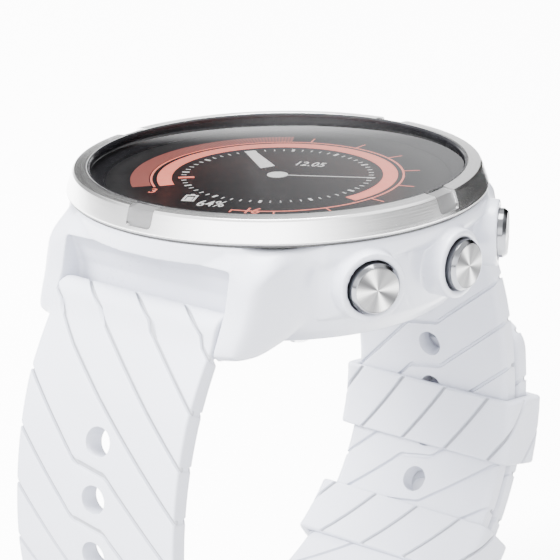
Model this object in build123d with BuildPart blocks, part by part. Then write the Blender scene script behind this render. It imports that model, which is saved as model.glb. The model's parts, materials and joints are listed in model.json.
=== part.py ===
"""GPS running watch, buckled: round case with three pushers, two-part rubber strap, two keepers, pin buckle.

Millimetres.  Origin: centre of the optical sensor window's outer face, where the watch meets the wrist.
+Z out of the dial, +Y to 12 o'clock, +X to 3 o'clock (the pusher side).
"""
import os
from math import cos, degrees, radians, sin

from build123d import *

# ------------------------------------------------------------------ driving dimensions
CASE_R = 25.0            # case and bezel outer radius (50 mm class)
CAVITY_R = 20.3          # inner radius of the case middle
CASE_TOP = 16.8          # bezel rim above the sensor window
BEZEL_Z = 13.85          # underside of the bezel's visible ring
BODY_Z = 13.60           # top face of the case middle
GLASS_R = 22.15          # crystal radius
GLASS_TOP = 16.30
GLASS_T = 1.10
DISPLAY_TOP = 14.84
DISPLAY_R = 20.40

STRAP_W = 24.0           # strap width, the spacing of the lugs
SLOT_W = 24.3            # gap between a pair of lugs
STRAP_T = 2.40           # strap thickness
BAR_Y, BAR_Z = 24.2, 4.3  # spring bar axes
LUG_X = 16.9             # outer half width over a pair of lugs

# strap loop, side view (Y, Z): large arcs beside the case, smaller arcs round the wrist
JOIN_Z = -21.0           # height where the large and small arcs meet
R_SIDE = 44.2            # outer radius of the large arcs
C_SIDE = 9.85            # Y offset of the large arcs' centres
C_FAR = 6.85             # Y of the 12 o'clock small arc's centre
R_FAR = 27.5             # outer radius of the short strap's small arc
GAP = 0.40               # between the two strap layers
C_NEAR = -4.05           # Y of the 6 o'clock small arc's centre
R_NEAR = R_FAR + GAP + STRAP_T   # 30.3
TIP_DEG = 13.5           # how far the tail runs up the large arc
HOLE_R = 1.70
HOLE_PITCH = 6.5

PUSH_Z = 8.7
PUSH_ANGLES = {"upper": 28.2, "middle": 0.0, "lower": -28.2}
PUSH_R = 2.95
PUSH_FACE = 27.45
PUSH_TRAVEL = 0.8

PIN_Y, PIN_Z = 7.80, -46.6   # buckle bar axis
BASE_Z = -53.6           # underside of the buckle frame

os.makedirs("parts", exist_ok=True)


def save(part, name, node=None):
    part.label = name
    export_step(part, f"parts/{name}.step")
    print(name, round(part.volume, 2), len(part.solids()), part.is_valid)


def polar(c, r, a):
    """Point at angle a (degrees) and radius r about c = (y, z)."""
    return (c[0] + r * cos(radians(a)), c[1] + r * sin(radians(a)))


def arc(c, r, a, b):
    """Circular arc about c from angle a to angle b."""
    return ThreePointArc(polar(c, r, a), polar(c, r, (a + b) / 2), polar(c, r, b))


def ring(r_in, r_out, z0, z1):
    """Turned ring, made of a rectangle revolved about Z."""
    with BuildPart() as p:
        with BuildSketch(Plane.XZ) as s:
            with BuildLine():
                Polyline((r_in, z0), (r_out, z0), (r_out, z1), (r_in, z1), close=True)
            make_face()
        revolve(axis=Axis.Z)
    return p


def radial(a):
    """Plane whose normal points radially outwards at clock angle a, through the pusher height."""
    return Plane(
        origin=(0, 0, PUSH_Z),
        x_dir=(-sin(radians(a)), cos(radians(a)), 0),
        z_dir=(cos(radians(a)), sin(radians(a)), 0),
    )


# ------------------------------------------------------------------ bezel, turned, with four flats at 12, 3, 6 and 9
with BuildPart() as bezel:
    with BuildSketch(Plane.XZ):
        with BuildLine():
            Polyline(
                (22.00, 12.40), (22.90, 12.40), (22.90, BEZEL_Z), (24.82, BEZEL_Z), (CASE_R, 14.05),
                (CASE_R, 14.20), (24.22, 16.22), (24.02, 16.42), (22.62, CASE_TOP), (22.45, 16.72),
                (22.45, 15.00), (21.40, 15.00), (21.40, 13.90), (22.00, 13.90), close=True,
            )
        make_face()
    revolve(axis=Axis.Z)
    # flats: a 4.3 mm wide plane cut across the shoulder
    for a in (0, 90, 180, 270):
        pl = Plane(
            origin=(0, 0, 0),
            x_dir=(cos(radians(a)), sin(radians(a)), 0),
            z_dir=(sin(radians(a)), -cos(radians(a)), 0),
        )
        with BuildSketch(pl):
            with BuildLine():
                Polyline((22.52, 16.95), (22.52, 16.78), (24.92, 14.30), (25.6, 14.30), (25.6, 16.95), close=True)
            make_face()
        extrude(amount=2.15, both=True, mode=Mode.SUBTRACT)
save(bezel.part, "bezel")

# ------------------------------------------------------------------ crystal, gasket, seal ring
with BuildPart() as crystal:
    with BuildSketch(Plane.XY.offset(GLASS_TOP - GLASS_T)):
        Circle(GLASS_R)
    extrude(amount=GLASS_T)
    chamfer(crystal.edges().group_by(Axis.Z)[-1], 0.12)
save(crystal.part, "crystal")

with BuildPart() as crystal_gasket:
    with BuildSketch(Plane.XZ):
        with BuildLine():
            Polyline(
                (21.50, 15.02), (22.43, 15.02), (22.43, 16.68), (22.33, 16.68), (22.17, 16.45),
                (22.17, 15.18), (21.50, 15.18), close=True,
            )
        make_face()
    revolve(axis=Axis.Z)
save(crystal_gasket.part, "crystal_gasket")

bezel_seal = ring(22.95, 24.70, BODY_Z, BEZEL_Z)
save(bezel_seal.part, "bezel_seal")

# ------------------------------------------------------------------ display stack
with BuildPart() as display_holder:
    with BuildSketch(Plane.XZ):
        with BuildLine():
            Polyline(
                (18.60, 12.00), (21.35, 12.00), (21.35, 14.98), (20.60, 14.98), (20.45, 14.80),
                (20.45, 12.80), (18.60, 12.80), close=True,
            )
        make_face()
    revolve(axis=Axis.Z)
save(display_holder.part, "display_holder")

with BuildPart() as display_panel:
    with BuildSketch(Plane.XY.offset(12.85)):
        Circle(DISPLAY_R)
    extrude(amount=DISPLAY_TOP - 12.85)
    with BuildSketch(Plane.XY.offset(12.05)):
        Rectangle(22.0, 20.0)
    extrude(amount=0.8)
save(display_panel.part, "display_panel")

antenna_ring = ring(21.36, 21.98, 12.00, 13.88)
save(antenna_ring.part, "antenna_ring")

# ------------------------------------------------------------------ case middle
# pair of lugs at one end: side profile across the width, trimmed by a plan shape
lug_parts = []
for s in (-1, 1):
    with BuildPart() as lug:
        with BuildSketch(Plane.YZ):
            with BuildLine():
                Polyline(
                    (s * 17.0, 12.60), (s * 22.20, 13.35), (s * 23.70, 11.40), (s * 24.75, 7.20), (s * 27.00, 2.70),
                    (s * 26.10, 1.75), (s * 22.60, 1.55), (s * 17.0, 3.10), close=True,
                )
            make_face()
        extrude(amount=20, both=True)
        with BuildSketch(Plane.XY.offset(-2)):
            with BuildLine():
                Polyline(
                    (-14.5, s * 28.2), (14.5, s * 28.2), (15.2, s * 26.6), (15.9, s * 23.5), (16.9, s * 18.2), (17.0, s * 10.0),
                    (-17.0, s * 10.0), (-16.9, s * 18.2), (-15.9, s * 23.5), (-15.2, s * 26.6), close=True,
                )
            make_face()
        extrude(amount=20, mode=Mode.INTERSECT)
        fillet(lug.edges().filter_by(lambda e: abs(e.center().Y) > 26 and abs(e.center().X) < 1 and e.length > 20), 0.6)
    lug_parts.append(lug.part)

# raised guard carrying the three pushers
with BuildPart() as guard:
    with BuildSketch(Plane.XZ):
        with BuildLine():
            Polyline((22.9, 4.7), (23.7, 4.7), (25.15, 6.2), (25.40, 9.0), (25.15, 11.3), (24.7, 12.5), (22.9, 12.5), close=True)
        make_face()
    revolve(axis=Axis.Z)
    with BuildSketch(Plane.XY):
        with BuildLine():
            Polyline((0, 0), (40 * cos(radians(41)), -40 * sin(radians(41))), (60, 0), (40 * cos(radians(41)), 40 * sin(radians(41))), close=True)
        make_face()
    extrude(amount=20, mode=Mode.INTERSECT)

# one round boss per pusher
boss_parts = []
for a in PUSH_ANGLES.values():
    with BuildPart() as boss:
        with BuildSketch(radial(a).offset(21.6)):
            Circle(4.20)
        extrude(amount=4.75, taper=3)
    boss_parts.append(boss.part)

with BuildPart() as case_middle:
    with BuildSketch(Plane.XZ):
        with BuildLine():
            Polyline((21.10, 1.55), (22.40, 3.00))
            Spline((22.40, 3.00), (24.10, 6.20), (24.90, 9.80), (24.92, 13.20))
            Polyline((24.92, 13.20), (24.75, BODY_Z), (17.40, BODY_Z), (17.40, 1.55), (21.10, 1.55))
        make_face()
    revolve(axis=Axis.Z)
    for p in lug_parts:
        add(p)
    add(guard.part)
    # valleys between neighbouring pushers
    for a in (14.1, -14.1):
        with BuildSketch(Plane.XY):
            with PolarLocations(28.35, 1, start_angle=a):
                Circle(4.1)
        extrude(amount=11.3, mode=Mode.SUBTRACT)
    for p in boss_parts:
        add(p)
    # cavity, bezel seat, rear cover seat
    with BuildSketch(Plane.XY.offset(3.90)):
        Circle(CAVITY_R)
    extrude(amount=8.1, mode=Mode.SUBTRACT)
    with BuildSketch(Plane.XY.offset(12.0)):
        Circle(22.93)
    extrude(amount=4, mode=Mode.SUBTRACT)
    with BuildSketch(Plane.XY.offset(1.0)):
        Circle(17.40)
    extrude(amount=5, mode=Mode.SUBTRACT)
    with BuildSketch(Plane.XY.offset(1.0)):
        Circle(20.60)
    extrude(amount=1.2, mode=Mode.SUBTRACT)
    # pusher counterbores and sleeve holes
    for a in PUSH_ANGLES.values():
        with BuildSketch(radial(a).offset(22.6)):
            Circle(3.10)
        extrude(amount=6, mode=Mode.SUBTRACT)
        with BuildSketch(radial(a).offset(18.0)):
            Circle(1.80)
        extrude(amount=5.0, mode=Mode.SUBTRACT)
    # strap slots between the lugs, with blind holes for the spring bar tips
    for s in (-1, 1):
        with BuildSketch(Plane.YZ):
            with BuildLine():
                Polyline(
                    (s * 21.45, -1.0), (s * 21.45, 7.6), (s * 22.10, 9.7), (s * 23.10, 11.35), (s * 29.0, 11.35),
                    (s * 29.0, -1.0), close=True,
                )
            make_face()
        extrude(amount=SLOT_W / 2, both=True, mode=Mode.SUBTRACT)
        with BuildSketch(Plane.YZ):
            with Locations((s * BAR_Y, BAR_Z)):
                Circle(0.50)
        extrude(amount=13.7, both=True, mode=Mode.SUBTRACT)
    # pressure port at 9 o'clock
    with BuildSketch(Plane.YZ.offset(-27)):
        with Locations((0, 8.0)):
            Circle(0.60)
    extrude(amount=7.5, mode=Mode.SUBTRACT)
    # blind screw holes for the rear cover
    with BuildSketch(Plane.XY.offset(2.0)):
        with PolarLocations(18.95, 4, start_angle=45):
            Circle(0.60)
    extrude(amount=1.6, mode=Mode.SUBTRACT)
save(case_middle.part, "case_middle")

# ------------------------------------------------------------------ rear cover, sensor window, contacts, screws
with BuildPart() as rear_cover:
    with BuildSketch(Plane.XZ):
        with BuildLine():
            Polyline(
                (9.00, 0.60), (12.50, 0.45), (19.60, 1.20), (20.55, 1.60), (20.55, 2.18), (17.35, 2.18),
                (17.35, 3.80), (15.40, 3.80), (15.40, 2.00), (9.00, 2.00), close=True,
            )
        make_face()
    revolve(axis=Axis.Z)
    with BuildSketch(Plane.XY.offset(0.0)):
        with PolarLocations(18.95, 4, start_angle=45):
            Circle(0.70)
    extrude(amount=3, mode=Mode.SUBTRACT)
    with BuildSketch(Plane.XY.offset(0.0)):
        with PolarLocations(18.95, 4, start_angle=45):
            Circle(1.25)
    extrude(amount=1.60, mode=Mode.SUBTRACT)
    with BuildSketch(Plane.XY):
        with GridLocations(2.6, 1, 4, 1):
            with Locations((0, -12.9)):
                Circle(0.80)
    extrude(amount=3, mode=Mode.SUBTRACT)
    with BuildSketch(Plane.XY):
        with Locations((13.2, 7.2)):
            Circle(0.45)
    extrude(amount=3, mode=Mode.SUBTRACT)
save(rear_cover.part, "rear_cover")

rear_seal = ring(15.60, 17.35, 3.80, 3.90)
save(rear_seal.part, "rear_seal")

with BuildPart() as sensor_window:
    with BuildSketch(Plane.XZ):
        with BuildLine():
            Polyline((0, 0), (7.60, 0), (8.98, 0.45), (8.98, 2.00), (9.80, 2.00), (9.80, 2.70), (0, 2.70), close=True)
        make_face()
    revolve(axis=Axis.Z)
save(sensor_window.part, "sensor_window")

with BuildPart() as charging_contacts:
    with BuildSketch(Plane.XY.offset(0.62)):
        with GridLocations(2.6, 1, 4, 1):
            with Locations((0, -12.9)):
                Circle(0.79)
    extrude(amount=2.6)
    with BuildSketch(Plane.XY.offset(2.0)):
        with GridLocations(2.6, 1, 4, 1):
            with Locations((0, -12.9)):
                Circle(1.05)
    extrude(amount=0.5)
save(charging_contacts.part, "charging_contacts")

with BuildPart() as rear_screws:
    with BuildSketch(Plane.XY.offset(1.60)):
        with PolarLocations(18.95, 4, start_angle=45):
            Circle(0.58)
    extrude(amount=1.9)
    with BuildSketch(Plane.XY.offset(0.98)):
        with PolarLocations(18.95, 4, start_angle=45):
            Circle(1.20)
    extrude(amount=0.62)
    with BuildSketch(Plane.XY.offset(0.90)):
        with PolarLocations(18.95, 4, start_angle=45):
            RegularPolygon(0.52, 6)
    extrude(amount=0.45, mode=Mode.SUBTRACT)
save(rear_screws.part, "rear_screws")

with BuildPart() as sensor_board:
    with BuildSketch(Plane.XY.offset(2.70)):
        Circle(9.20)
    extrude(amount=0.60)
    with BuildSketch(Plane.XY.offset(3.30)):
        with Locations((0, 4.4), (0, -4.4), (4.4, 0), (-4.4, 0)):
            Rectangle(2.2, 1.6)
        Rectangle(3.2, 2.6)
    extrude(amount=0.45)
save(sensor_board.part, "sensor_board")

# ------------------------------------------------------------------ inner frame, board, battery, motor, pressure sensor
with BuildPart() as inner_frame:
    with BuildSketch(Plane.XY.offset(3.90)):
        Circle(20.25)
    extrude(amount=8.05)
    with BuildSketch(Plane.XY.offset(4.60)):
        Circle(18.80)
    extrude(amount=9, mode=Mode.SUBTRACT)
    with BuildSketch(Plane.XY.offset(3.0)):
        Circle(10.0)
    extrude(amount=2, mode=Mode.SUBTRACT)
    with BuildSketch(Plane.XY.offset(3.0)):
        with Locations((0, -12.9)):
            Rectangle(11.6, 3.2)
    extrude(amount=2, mode=Mode.SUBTRACT)
    # window for the pusher stems, and for the pressure port
    with BuildSketch(Plane.XY.offset(5.6)):
        with Locations((19.0, 0)):
            Rectangle(12.0, 25.5)
        with Locations((-20.0, 0)):
            Rectangle(5.0, 5.0)
    extrude(amount=5.0, mode=Mode.SUBTRACT)
save(inner_frame.part, "inner_frame")

with BuildPart() as main_board:
    with BuildSketch(Plane.XY.offset(10.30)):
        Circle(18.75)
        with Locations((17.9, 0)):
            Rectangle(2.4, 9.0, mode=Mode.SUBTRACT)
    extrude(amount=0.70)
    with BuildSketch(Plane.XY.offset(11.0)):
        with Locations((-13.9, 5.0), (-13.9, -3.0), (13.2, 6.0), (13.2, -5.0)):
            Rectangle(3.2, 4.6)
        with Locations((0, 13.4), (-7.0, -13.0), (5.0, -13.6)):
            Rectangle(6.0, 3.6)
    extrude(amount=0.90)
save(main_board.part, "main_board")

with BuildPart() as battery:
    with BuildSketch(Plane.XY.offset(4.62)):
        with Locations((-3.5, 0)):
            Circle(13.0)
    extrude(amount=5.40)
    fillet(battery.edges().filter_by(GeomType.CIRCLE), 0.6)
save(battery.part, "battery")

with BuildPart() as vibration_motor:
    with BuildSketch(Plane.XY.offset(4.60)):
        with Locations((4.9, 14.4)):
            Circle(3.50)
    extrude(amount=3.0)
    with BuildSketch(Plane.XY.offset(7.6)):
        with Locations((4.9, 14.4)):
            Circle(1.2)
    extrude(amount=0.25)
save(vibration_motor.part, "vibration_motor")

with BuildPart() as pressure_sensor:
    with BuildSketch(Plane.XY.offset(6.40)):
        with Locations((-18.6, 0)):
            Rectangle(3.2, 3.6)
    extrude(amount=3.2)
save(pressure_sensor.part, "pressure_sensor")

# ------------------------------------------------------------------ coil springs, wound about Z and then placed
with BuildPart() as pusher_coil:
    with BuildLine():
        h = Helix(pitch=0.62, height=1.98, radius=2.12)
    with BuildSketch(Plane(origin=h @ 0, z_dir=h % 0)):
        Circle(0.15)
    sweep(path=h, is_frenet=True)

with BuildPart() as release_coil:
    with BuildLine():
        h = Helix(pitch=0.50, height=3.5, radius=0.44)
    with BuildSketch(Plane(origin=h @ 0, z_dir=h % 0)):
        Circle(0.08)
    sweep(path=h, is_frenet=True)

# ------------------------------------------------------------------ pushers
with BuildPart() as pusher_tubes:
    for a in PUSH_ANGLES.values():
        with BuildSketch(radial(a).offset(20.26)):
            Circle(1.79)
            Circle(1.05, mode=Mode.SUBTRACT)
        extrude(amount=2.34)
save(pusher_tubes.part, "pusher_tubes")

with BuildPart() as switch_board:
    for a in PUSH_ANGLES.values():
        with BuildSketch(radial(a).offset(16.0)):
            with Locations((0, 0.0)):
                RectangleRounded(4.2, 2.9, 0.3)
        extrude(amount=1.15)
        with BuildSketch(radial(a).offset(17.15)):
            Circle(0.95)
        extrude(amount=0.35)
        with BuildSketch(radial(a).offset(15.4)):
            with Locations((0, 0.15)):
                Rectangle(7.4, 2.88)
        extrude(amount=0.60)
save(switch_board.part, "switch_board")

for name, a in PUSH_ANGLES.items():
    with BuildPart() as head:
        with BuildSketch(radial(a).offset(23.60)):
            Circle(PUSH_R)
        extrude(amount=PUSH_FACE - 23.60)
        chamfer(head.edges().filter_by(GeomType.CIRCLE).sort_by(lambda e: e.center().dot(radial(a).z_dir))[-1:], 0.28)
        with BuildSketch(radial(a).offset(23.60)):
            Circle(2.45)
            Circle(1.20, mode=Mode.SUBTRACT)
        extrude(amount=1.45, mode=Mode.SUBTRACT)
        with BuildSketch(radial(a).offset(18.60)):
            Circle(1.00)
        extrude(amount=5.4)
        # grooves for the retaining clip and the sealing ring
        with BuildSketch(radial(a).offset(19.70)):
            Circle(1.2)
            Circle(0.72, mode=Mode.SUBTRACT)
        extrude(amount=0.42, mode=Mode.SUBTRACT)
        with BuildSketch(radial(a).offset(21.70)):
            Circle(1.05)
            Circle(0.74, mode=Mode.SUBTRACT)
        extrude(amount=0.60, mode=Mode.SUBTRACT)
    save(head.part, f"pusher_{name}")

    with BuildPart() as clip:
        with BuildSketch(radial(a).offset(19.74)):
            Circle(1.70)
            Circle(0.73, mode=Mode.SUBTRACT)
            with Locations((0, -1.3)):
                Rectangle(1.1, 1.4, mode=Mode.SUBTRACT)
        extrude(amount=0.34)
    save(clip.part, f"clip_{name}")

    with BuildPart() as oring:
        with BuildSketch(radial(a).offset(21.72)):
            Circle(1.035)
            Circle(0.745, mode=Mode.SUBTRACT)
        extrude(amount=0.56)
        chamfer(oring.edges(), 0.06)
    save(oring.part, f"oring_{name}")

    save(radial(a).offset(22.78).location * pusher_coil.part, f"spring_{name}")

# ------------------------------------------------------------------ spring bars, one at each end
for name, s in (("12", 1), ("6", -1)):
    y = s * BAR_Y
    with BuildPart() as tube:
        with BuildSketch(Plane.YZ.offset(-11.95)):
            with Locations((y, BAR_Z)):
                Circle(0.90)
        extrude(amount=23.9)
        with BuildSketch(Plane.YZ.offset(-11.0)):
            with Locations((y, BAR_Z)):
                Circle(0.60)
        extrude(amount=23.5, mode=Mode.SUBTRACT)
        with BuildSketch(Plane.YZ.offset(-13.5)):
            with Locations((y, BAR_Z)):
                Circle(0.46)
        extrude(amount=1.6)
        with BuildSketch(Plane.XZ.offset(-y)):
            with Locations((8.35, BAR_Z - 1.0)):
                Rectangle(2.6, 2.0)
        extrude(amount=0.42, both=True, mode=Mode.SUBTRACT)
    save(tube.part, f"spring_bar_{name}")

    with BuildPart() as tip:
        with BuildSketch(Plane.YZ.offset(8.70)):
            with Locations((y, BAR_Z)):
                Circle(0.55)
        extrude(amount=3.1)
        with BuildSketch(Plane.YZ.offset(8.70)):
            with Locations((y, BAR_Z)):
                Circle(0.46)
        extrude(amount=4.75)
        with BuildSketch(Plane.XY.offset(BAR_Z)):
            with Locations((9.15, y)):
                Circle(0.36)
        extrude(amount=-3.55)
        with BuildSketch(Plane.XY.offset(BAR_Z - 3.55)):
            with Locations((9.15, y)):
                Circle(0.62)
        extrude(amount=0.75)
    save(tip.part, f"release_{name}")

    bar_start = Plane(origin=(5.05, y, BAR_Z), x_dir=(0, 1, 0), z_dir=(1, 0, 0))
    save(bar_start.location * release_coil.part, f"release_spring_{name}")

# ------------------------------------------------------------------ strap
J = JOIN_Z
UP = 35.0                # angle at which the bands meet the ends round the spring bars


def mid_holes(s_list, r_mid_big, c_big, r_mid_small, c_small, side):
    """Hole centres and outward directions for positions s along the mid surface; s < 0 is above the join."""
    out = []
    for s in s_list:
        if s < 0:
            a, c, r = degrees(-s / r_mid_big), c_big, r_mid_big
        else:
            a, c, r = -degrees(s / r_mid_small), c_small, r_mid_small
        out.append(((side * (c + r * cos(radians(a))), J + r * sin(radians(a))), (side * cos(radians(a)), sin(radians(a)))))
    return out


# short half: 12 o'clock lug to the buckle bar
with BuildPart() as strap_short:
    ro, ri = R_SIDE, R_SIDE - STRAP_T
    so, si = R_FAR, R_FAR - STRAP_T
    with BuildSketch(Plane.YZ):
        with BuildLine():
            arc((-C_SIDE, J), ro, UP, 0)
            arc((C_FAR, J), so, 0, -88)
            Line(polar((C_FAR, J), so, -88), polar((C_FAR, J), si, -88))
            arc((C_FAR, J), si, -88, 0)
            arc((-C_SIDE, J), ri, 0, UP)
            Line(polar((-C_SIDE, J), ri, UP), polar((-C_SIDE, J), ro, UP))
        make_face()
    extrude(amount=STRAP_W / 2, both=True)
    chamfer(strap_short.edges().group_by(Axis.X)[0] + strap_short.edges().group_by(Axis.X)[-1], 0.4)
    with BuildSketch(Plane.YZ):
        with Locations((BAR_Y, BAR_Z)):
            Circle(2.50)
    extrude(amount=STRAP_W / 2, both=True)
    with BuildSketch(Plane.YZ):
        with Locations((PIN_Y, PIN_Z)):
            Circle(1.90)
    extrude(amount=STRAP_W / 2 - 0.1, both=True)
    with BuildSketch(Plane.YZ):
        with Locations((BAR_Y, BAR_Z)):
            Circle(0.95)
        with Locations((PIN_Y, PIN_Z)):
            Circle(0.80)
    extrude(amount=20, both=True, mode=Mode.SUBTRACT)
    with BuildSketch(Plane.XY.offset(PIN_Z)):
        with Locations((0, PIN_Y)):
            Rectangle(3.0, 4.4)
    extrude(amount=3, both=True, mode=Mode.SUBTRACT)
    with BuildSketch(Plane.XY.offset(BAR_Z + 0.2)):
        with Locations((8.6, BAR_Y)):
            Rectangle(3.6, 1.9)
    extrude(amount=-3.6, mode=Mode.SUBTRACT)
    for (hy, hz), (dy, dz) in mid_holes([-11.9 + 6.65 * k for k in range(5)], 43.0, -C_SIDE, 26.3, C_FAR, 1):
        with BuildSketch(Plane(origin=(0, hy, hz), x_dir=(1, 0, 0), z_dir=(0, dy, dz))):
            Circle(HOLE_R)
        extrude(amount=2.2, both=True, mode=Mode.SUBTRACT)
save(strap_short.part, "strap_short")

# long half: 6 o'clock lug, round the wrist, through the buckle and up outside the short half
with BuildPart() as strap_long:
    no, ni = R_NEAR, R_NEAR - STRAP_T
    to, ti = R_SIDE + GAP + STRAP_T, R_SIDE + GAP
    with BuildSketch(Plane.YZ):
        with BuildLine():
            arc((C_SIDE, J), ro, 180 - UP, 180)
            arc((C_NEAR, J), no, 180, 270)
            Line(polar((C_NEAR, J), no, 270), polar((C_FAR, J), no, 270))
            arc((C_FAR, J), no, -90, 0)
            arc((-C_SIDE, J), to, 0, TIP_DEG)
            Line(polar((-C_SIDE, J), to, TIP_DEG), polar((-C_SIDE, J), ti, TIP_DEG))
            arc((-C_SIDE, J), ti, TIP_DEG, 0)
            arc((C_FAR, J), ni, 0, -90)
            Line(polar((C_FAR, J), ni, 270), polar((C_NEAR, J), ni, 270))
            arc((C_NEAR, J), ni, 270, 180)
            arc((C_SIDE, J), ri, 180, 180 - UP)
            Line(polar((C_SIDE, J), ri, 180 - UP), polar((C_SIDE, J), ro, 180 - UP))
        make_face()
    extrude(amount=STRAP_W / 2, both=True)
    chamfer(strap_long.edges().group_by(Axis.X)[0] + strap_long.edges().group_by(Axis.X)[-1], 0.4)
    # rounded tip, cut across the tail
    with BuildSketch(Plane.XZ.offset(-30)):
        with BuildLine():
            Polyline((-13, -16.0), (-12.2, -16.0), (-12.2, -15.2))
            ThreePointArc((-12.2, -15.2), (0, -10.2), (12.2, -15.2))
            Polyline((12.2, -15.2), (12.2, -16.0), (13, -16.0), (13, -4), (-13, -4), (-13, -16.0))
        make_face()
    extrude(amount=-12, mode=Mode.SUBTRACT)
    with BuildSketch(Plane.YZ):
        with Locations((-BAR_Y, BAR_Z)):
            Circle(2.50)
    extrude(amount=STRAP_W / 2, both=True)
    with BuildSketch(Plane.YZ):
        with Locations((-BAR_Y, BAR_Z)):
            Circle(0.95)
    extrude(amount=20, both=True, mode=Mode.SUBTRACT)
    with BuildSketch(Plane.XY.offset(BAR_Z + 0.2)):
        with Locations((8.6, -BAR_Y)):
            Rectangle(3.6, 1.9)
    extrude(amount=-3.6, mode=Mode.SUBTRACT)
    # adjustment holes: near side, along the bottom, then up the tail
    near = mid_holes([-12.4 + HOLE_PITCH * k for k in range(9)], 43.0, -C_SIDE, 29.1, -C_NEAR, -1)
    s10 = -12.4 + HOLE_PITCH * 10 - 45.71
    flat = [((C_NEAR + s10 - HOLE_PITCH, J - 29.1), (0, -1)), ((C_NEAR + s10, J - 29.1), (0, -1))]
    tail0 = HOLE_PITCH - (C_FAR - (C_NEAR + s10))
    tail = []
    for k in range(7):
        s = tail0 + HOLE_PITCH * k - 45.71
        a = degrees(s / 29.1) if s < 0 else degrees(s / 45.8)
        c, r = (C_FAR, 29.1) if s < 0 else (-C_SIDE, 45.8)
        tail.append((polar((c, J), r, a), (cos(radians(a)), sin(radians(a)))))
    for (hy, hz), (dy, dz) in near + flat + tail:
        with BuildSketch(Plane(origin=(0, hy, hz), x_dir=(1, 0, 0), z_dir=(0, dy, dz))):
            Circle(HOLE_R)
        extrude(amount=2.2, both=True, mode=Mode.SUBTRACT)
save(strap_long.part, "strap_long")
print("prong hole at y", C_NEAR + s10)

# ------------------------------------------------------------------ keepers: square loops bent to the strap's curve
for name, a0, a1, b0, b1, r0, r1 in (
    ("keeper_free", -0.6, -20.8, -2.6, -19.4, 25.00, 30.48),
    ("keeper_fixed", -40.0, -58.0, -41.0, -57.0, 25.07, 30.48),
):
    with BuildPart() as keeper:
        with BuildSketch(Plane.YZ):
            with BuildLine():
                arc((C_FAR, J), 31.90, b0, b1)
                Line(polar((C_FAR, J), 31.90, b1), polar((C_FAR, J), 24.00, a1))
                arc((C_FAR, J), 24.00, a1, a0)
                Line(polar((C_FAR, J), 24.00, a0), polar((C_FAR, J), 31.90, b0))
            make_face()
        extrude(amount=13.65, both=True)
        fillet(keeper.edges().filter_by(lambda e: abs(e.center().X) > 13.6 and abs(e.length) > 7.95 and e.geom_type == GeomType.CIRCLE), 0.9)
        with BuildSketch(Plane.YZ):
            with BuildLine():
                arc((C_FAR, J), r1, a0 + 5, a1 - 5)
                Line(polar((C_FAR, J), r1, a1 - 5), polar((C_FAR, J), r0, a1 - 5))
                arc((C_FAR, J), r0, a1 - 5, a0 + 5)
                Line(polar((C_FAR, J), r0, a0 + 5), polar((C_FAR, J), r1, a0 + 5))
            make_face()
        extrude(amount=12.15, both=True, mode=Mode.SUBTRACT)
    save(keeper.part, name)

# ------------------------------------------------------------------ buckle
with BuildPart() as buckle_frame:
    for s in (-1, 1):
        with BuildSketch(Plane.YZ.offset(s * 13.4)):
            with BuildLine():
                Polyline(
                    (9.70, -46.2), (9.55, -48.6), (7.2, -52.4), (5.6, BASE_Z), (-5.0, BASE_Z), (-5.8, -52.9), (-5.9, -52.0),
                    (-5.3, -51.5), (3.2, -51.5), (4.6, -50.4), (5.9, -47.0), close=True,
                )
            make_face()
            with Locations((PIN_Y, PIN_Z)):
                Circle(2.0)
        extrude(amount=1.0, both=True)
    with BuildSketch(Plane.YZ):
        with BuildLine():
            Polyline((-2.6, BASE_Z), (-5.0, BASE_Z), (-5.8, -52.9), (-5.9, -52.0), (-5.3, -51.5), (-2.6, -51.5), (-2.3, -51.9), (-2.3, -53.2), close=True)
        make_face()
    extrude(amount=13.4, both=True)
    with BuildSketch(Plane.YZ):
        with Locations((PIN_Y, PIN_Z)):
            Circle(0.80)
    extrude(amount=20, both=True, mode=Mode.SUBTRACT)
    with BuildSketch(Plane.XY.offset(-55)):
        with Locations((0, -4)):
            Rectangle(2.6, 6)
    extrude(amount=2.55, mode=Mode.SUBTRACT)
save(buckle_frame.part, "buckle_frame")

with BuildPart() as buckle_tongue:
    with BuildSketch(Plane.YZ):
        with BuildLine():
            Polyline(
                (7.4, -46.6), (7.2, -47.2), (5.6, -47.8), (3.432, -47.8), (1.217, -52.55), (-6.0, -52.55), (-6.35, -53.0), (-6.1, -53.5),
                (1.853, -53.5), (4.068, -48.8), (6.6, -48.6), (8.2, -47.9), (8.2, -46.6), close=True,
            )
        make_face()
        with Locations((PIN_Y, PIN_Z)):
            Circle(1.50)
    extrude(amount=1.05, both=True)
    with BuildSketch(Plane.YZ):
        with Locations((PIN_Y, PIN_Z)):
            Circle(0.80)
    extrude(amount=3, both=True, mode=Mode.SUBTRACT)
save(buckle_tongue.part, "buckle_tongue")

with BuildPart() as buckle_bar:
    with BuildSketch(Plane.YZ.offset(-14.35)):
        with Locations((PIN_Y, PIN_Z)):
            Circle(0.76)
    extrude(amount=28.7)
save(buckle_bar.part, "buckle_bar")
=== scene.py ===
import json
import math

import bmesh
import bpy
from mathutils import Matrix, Vector

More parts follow.
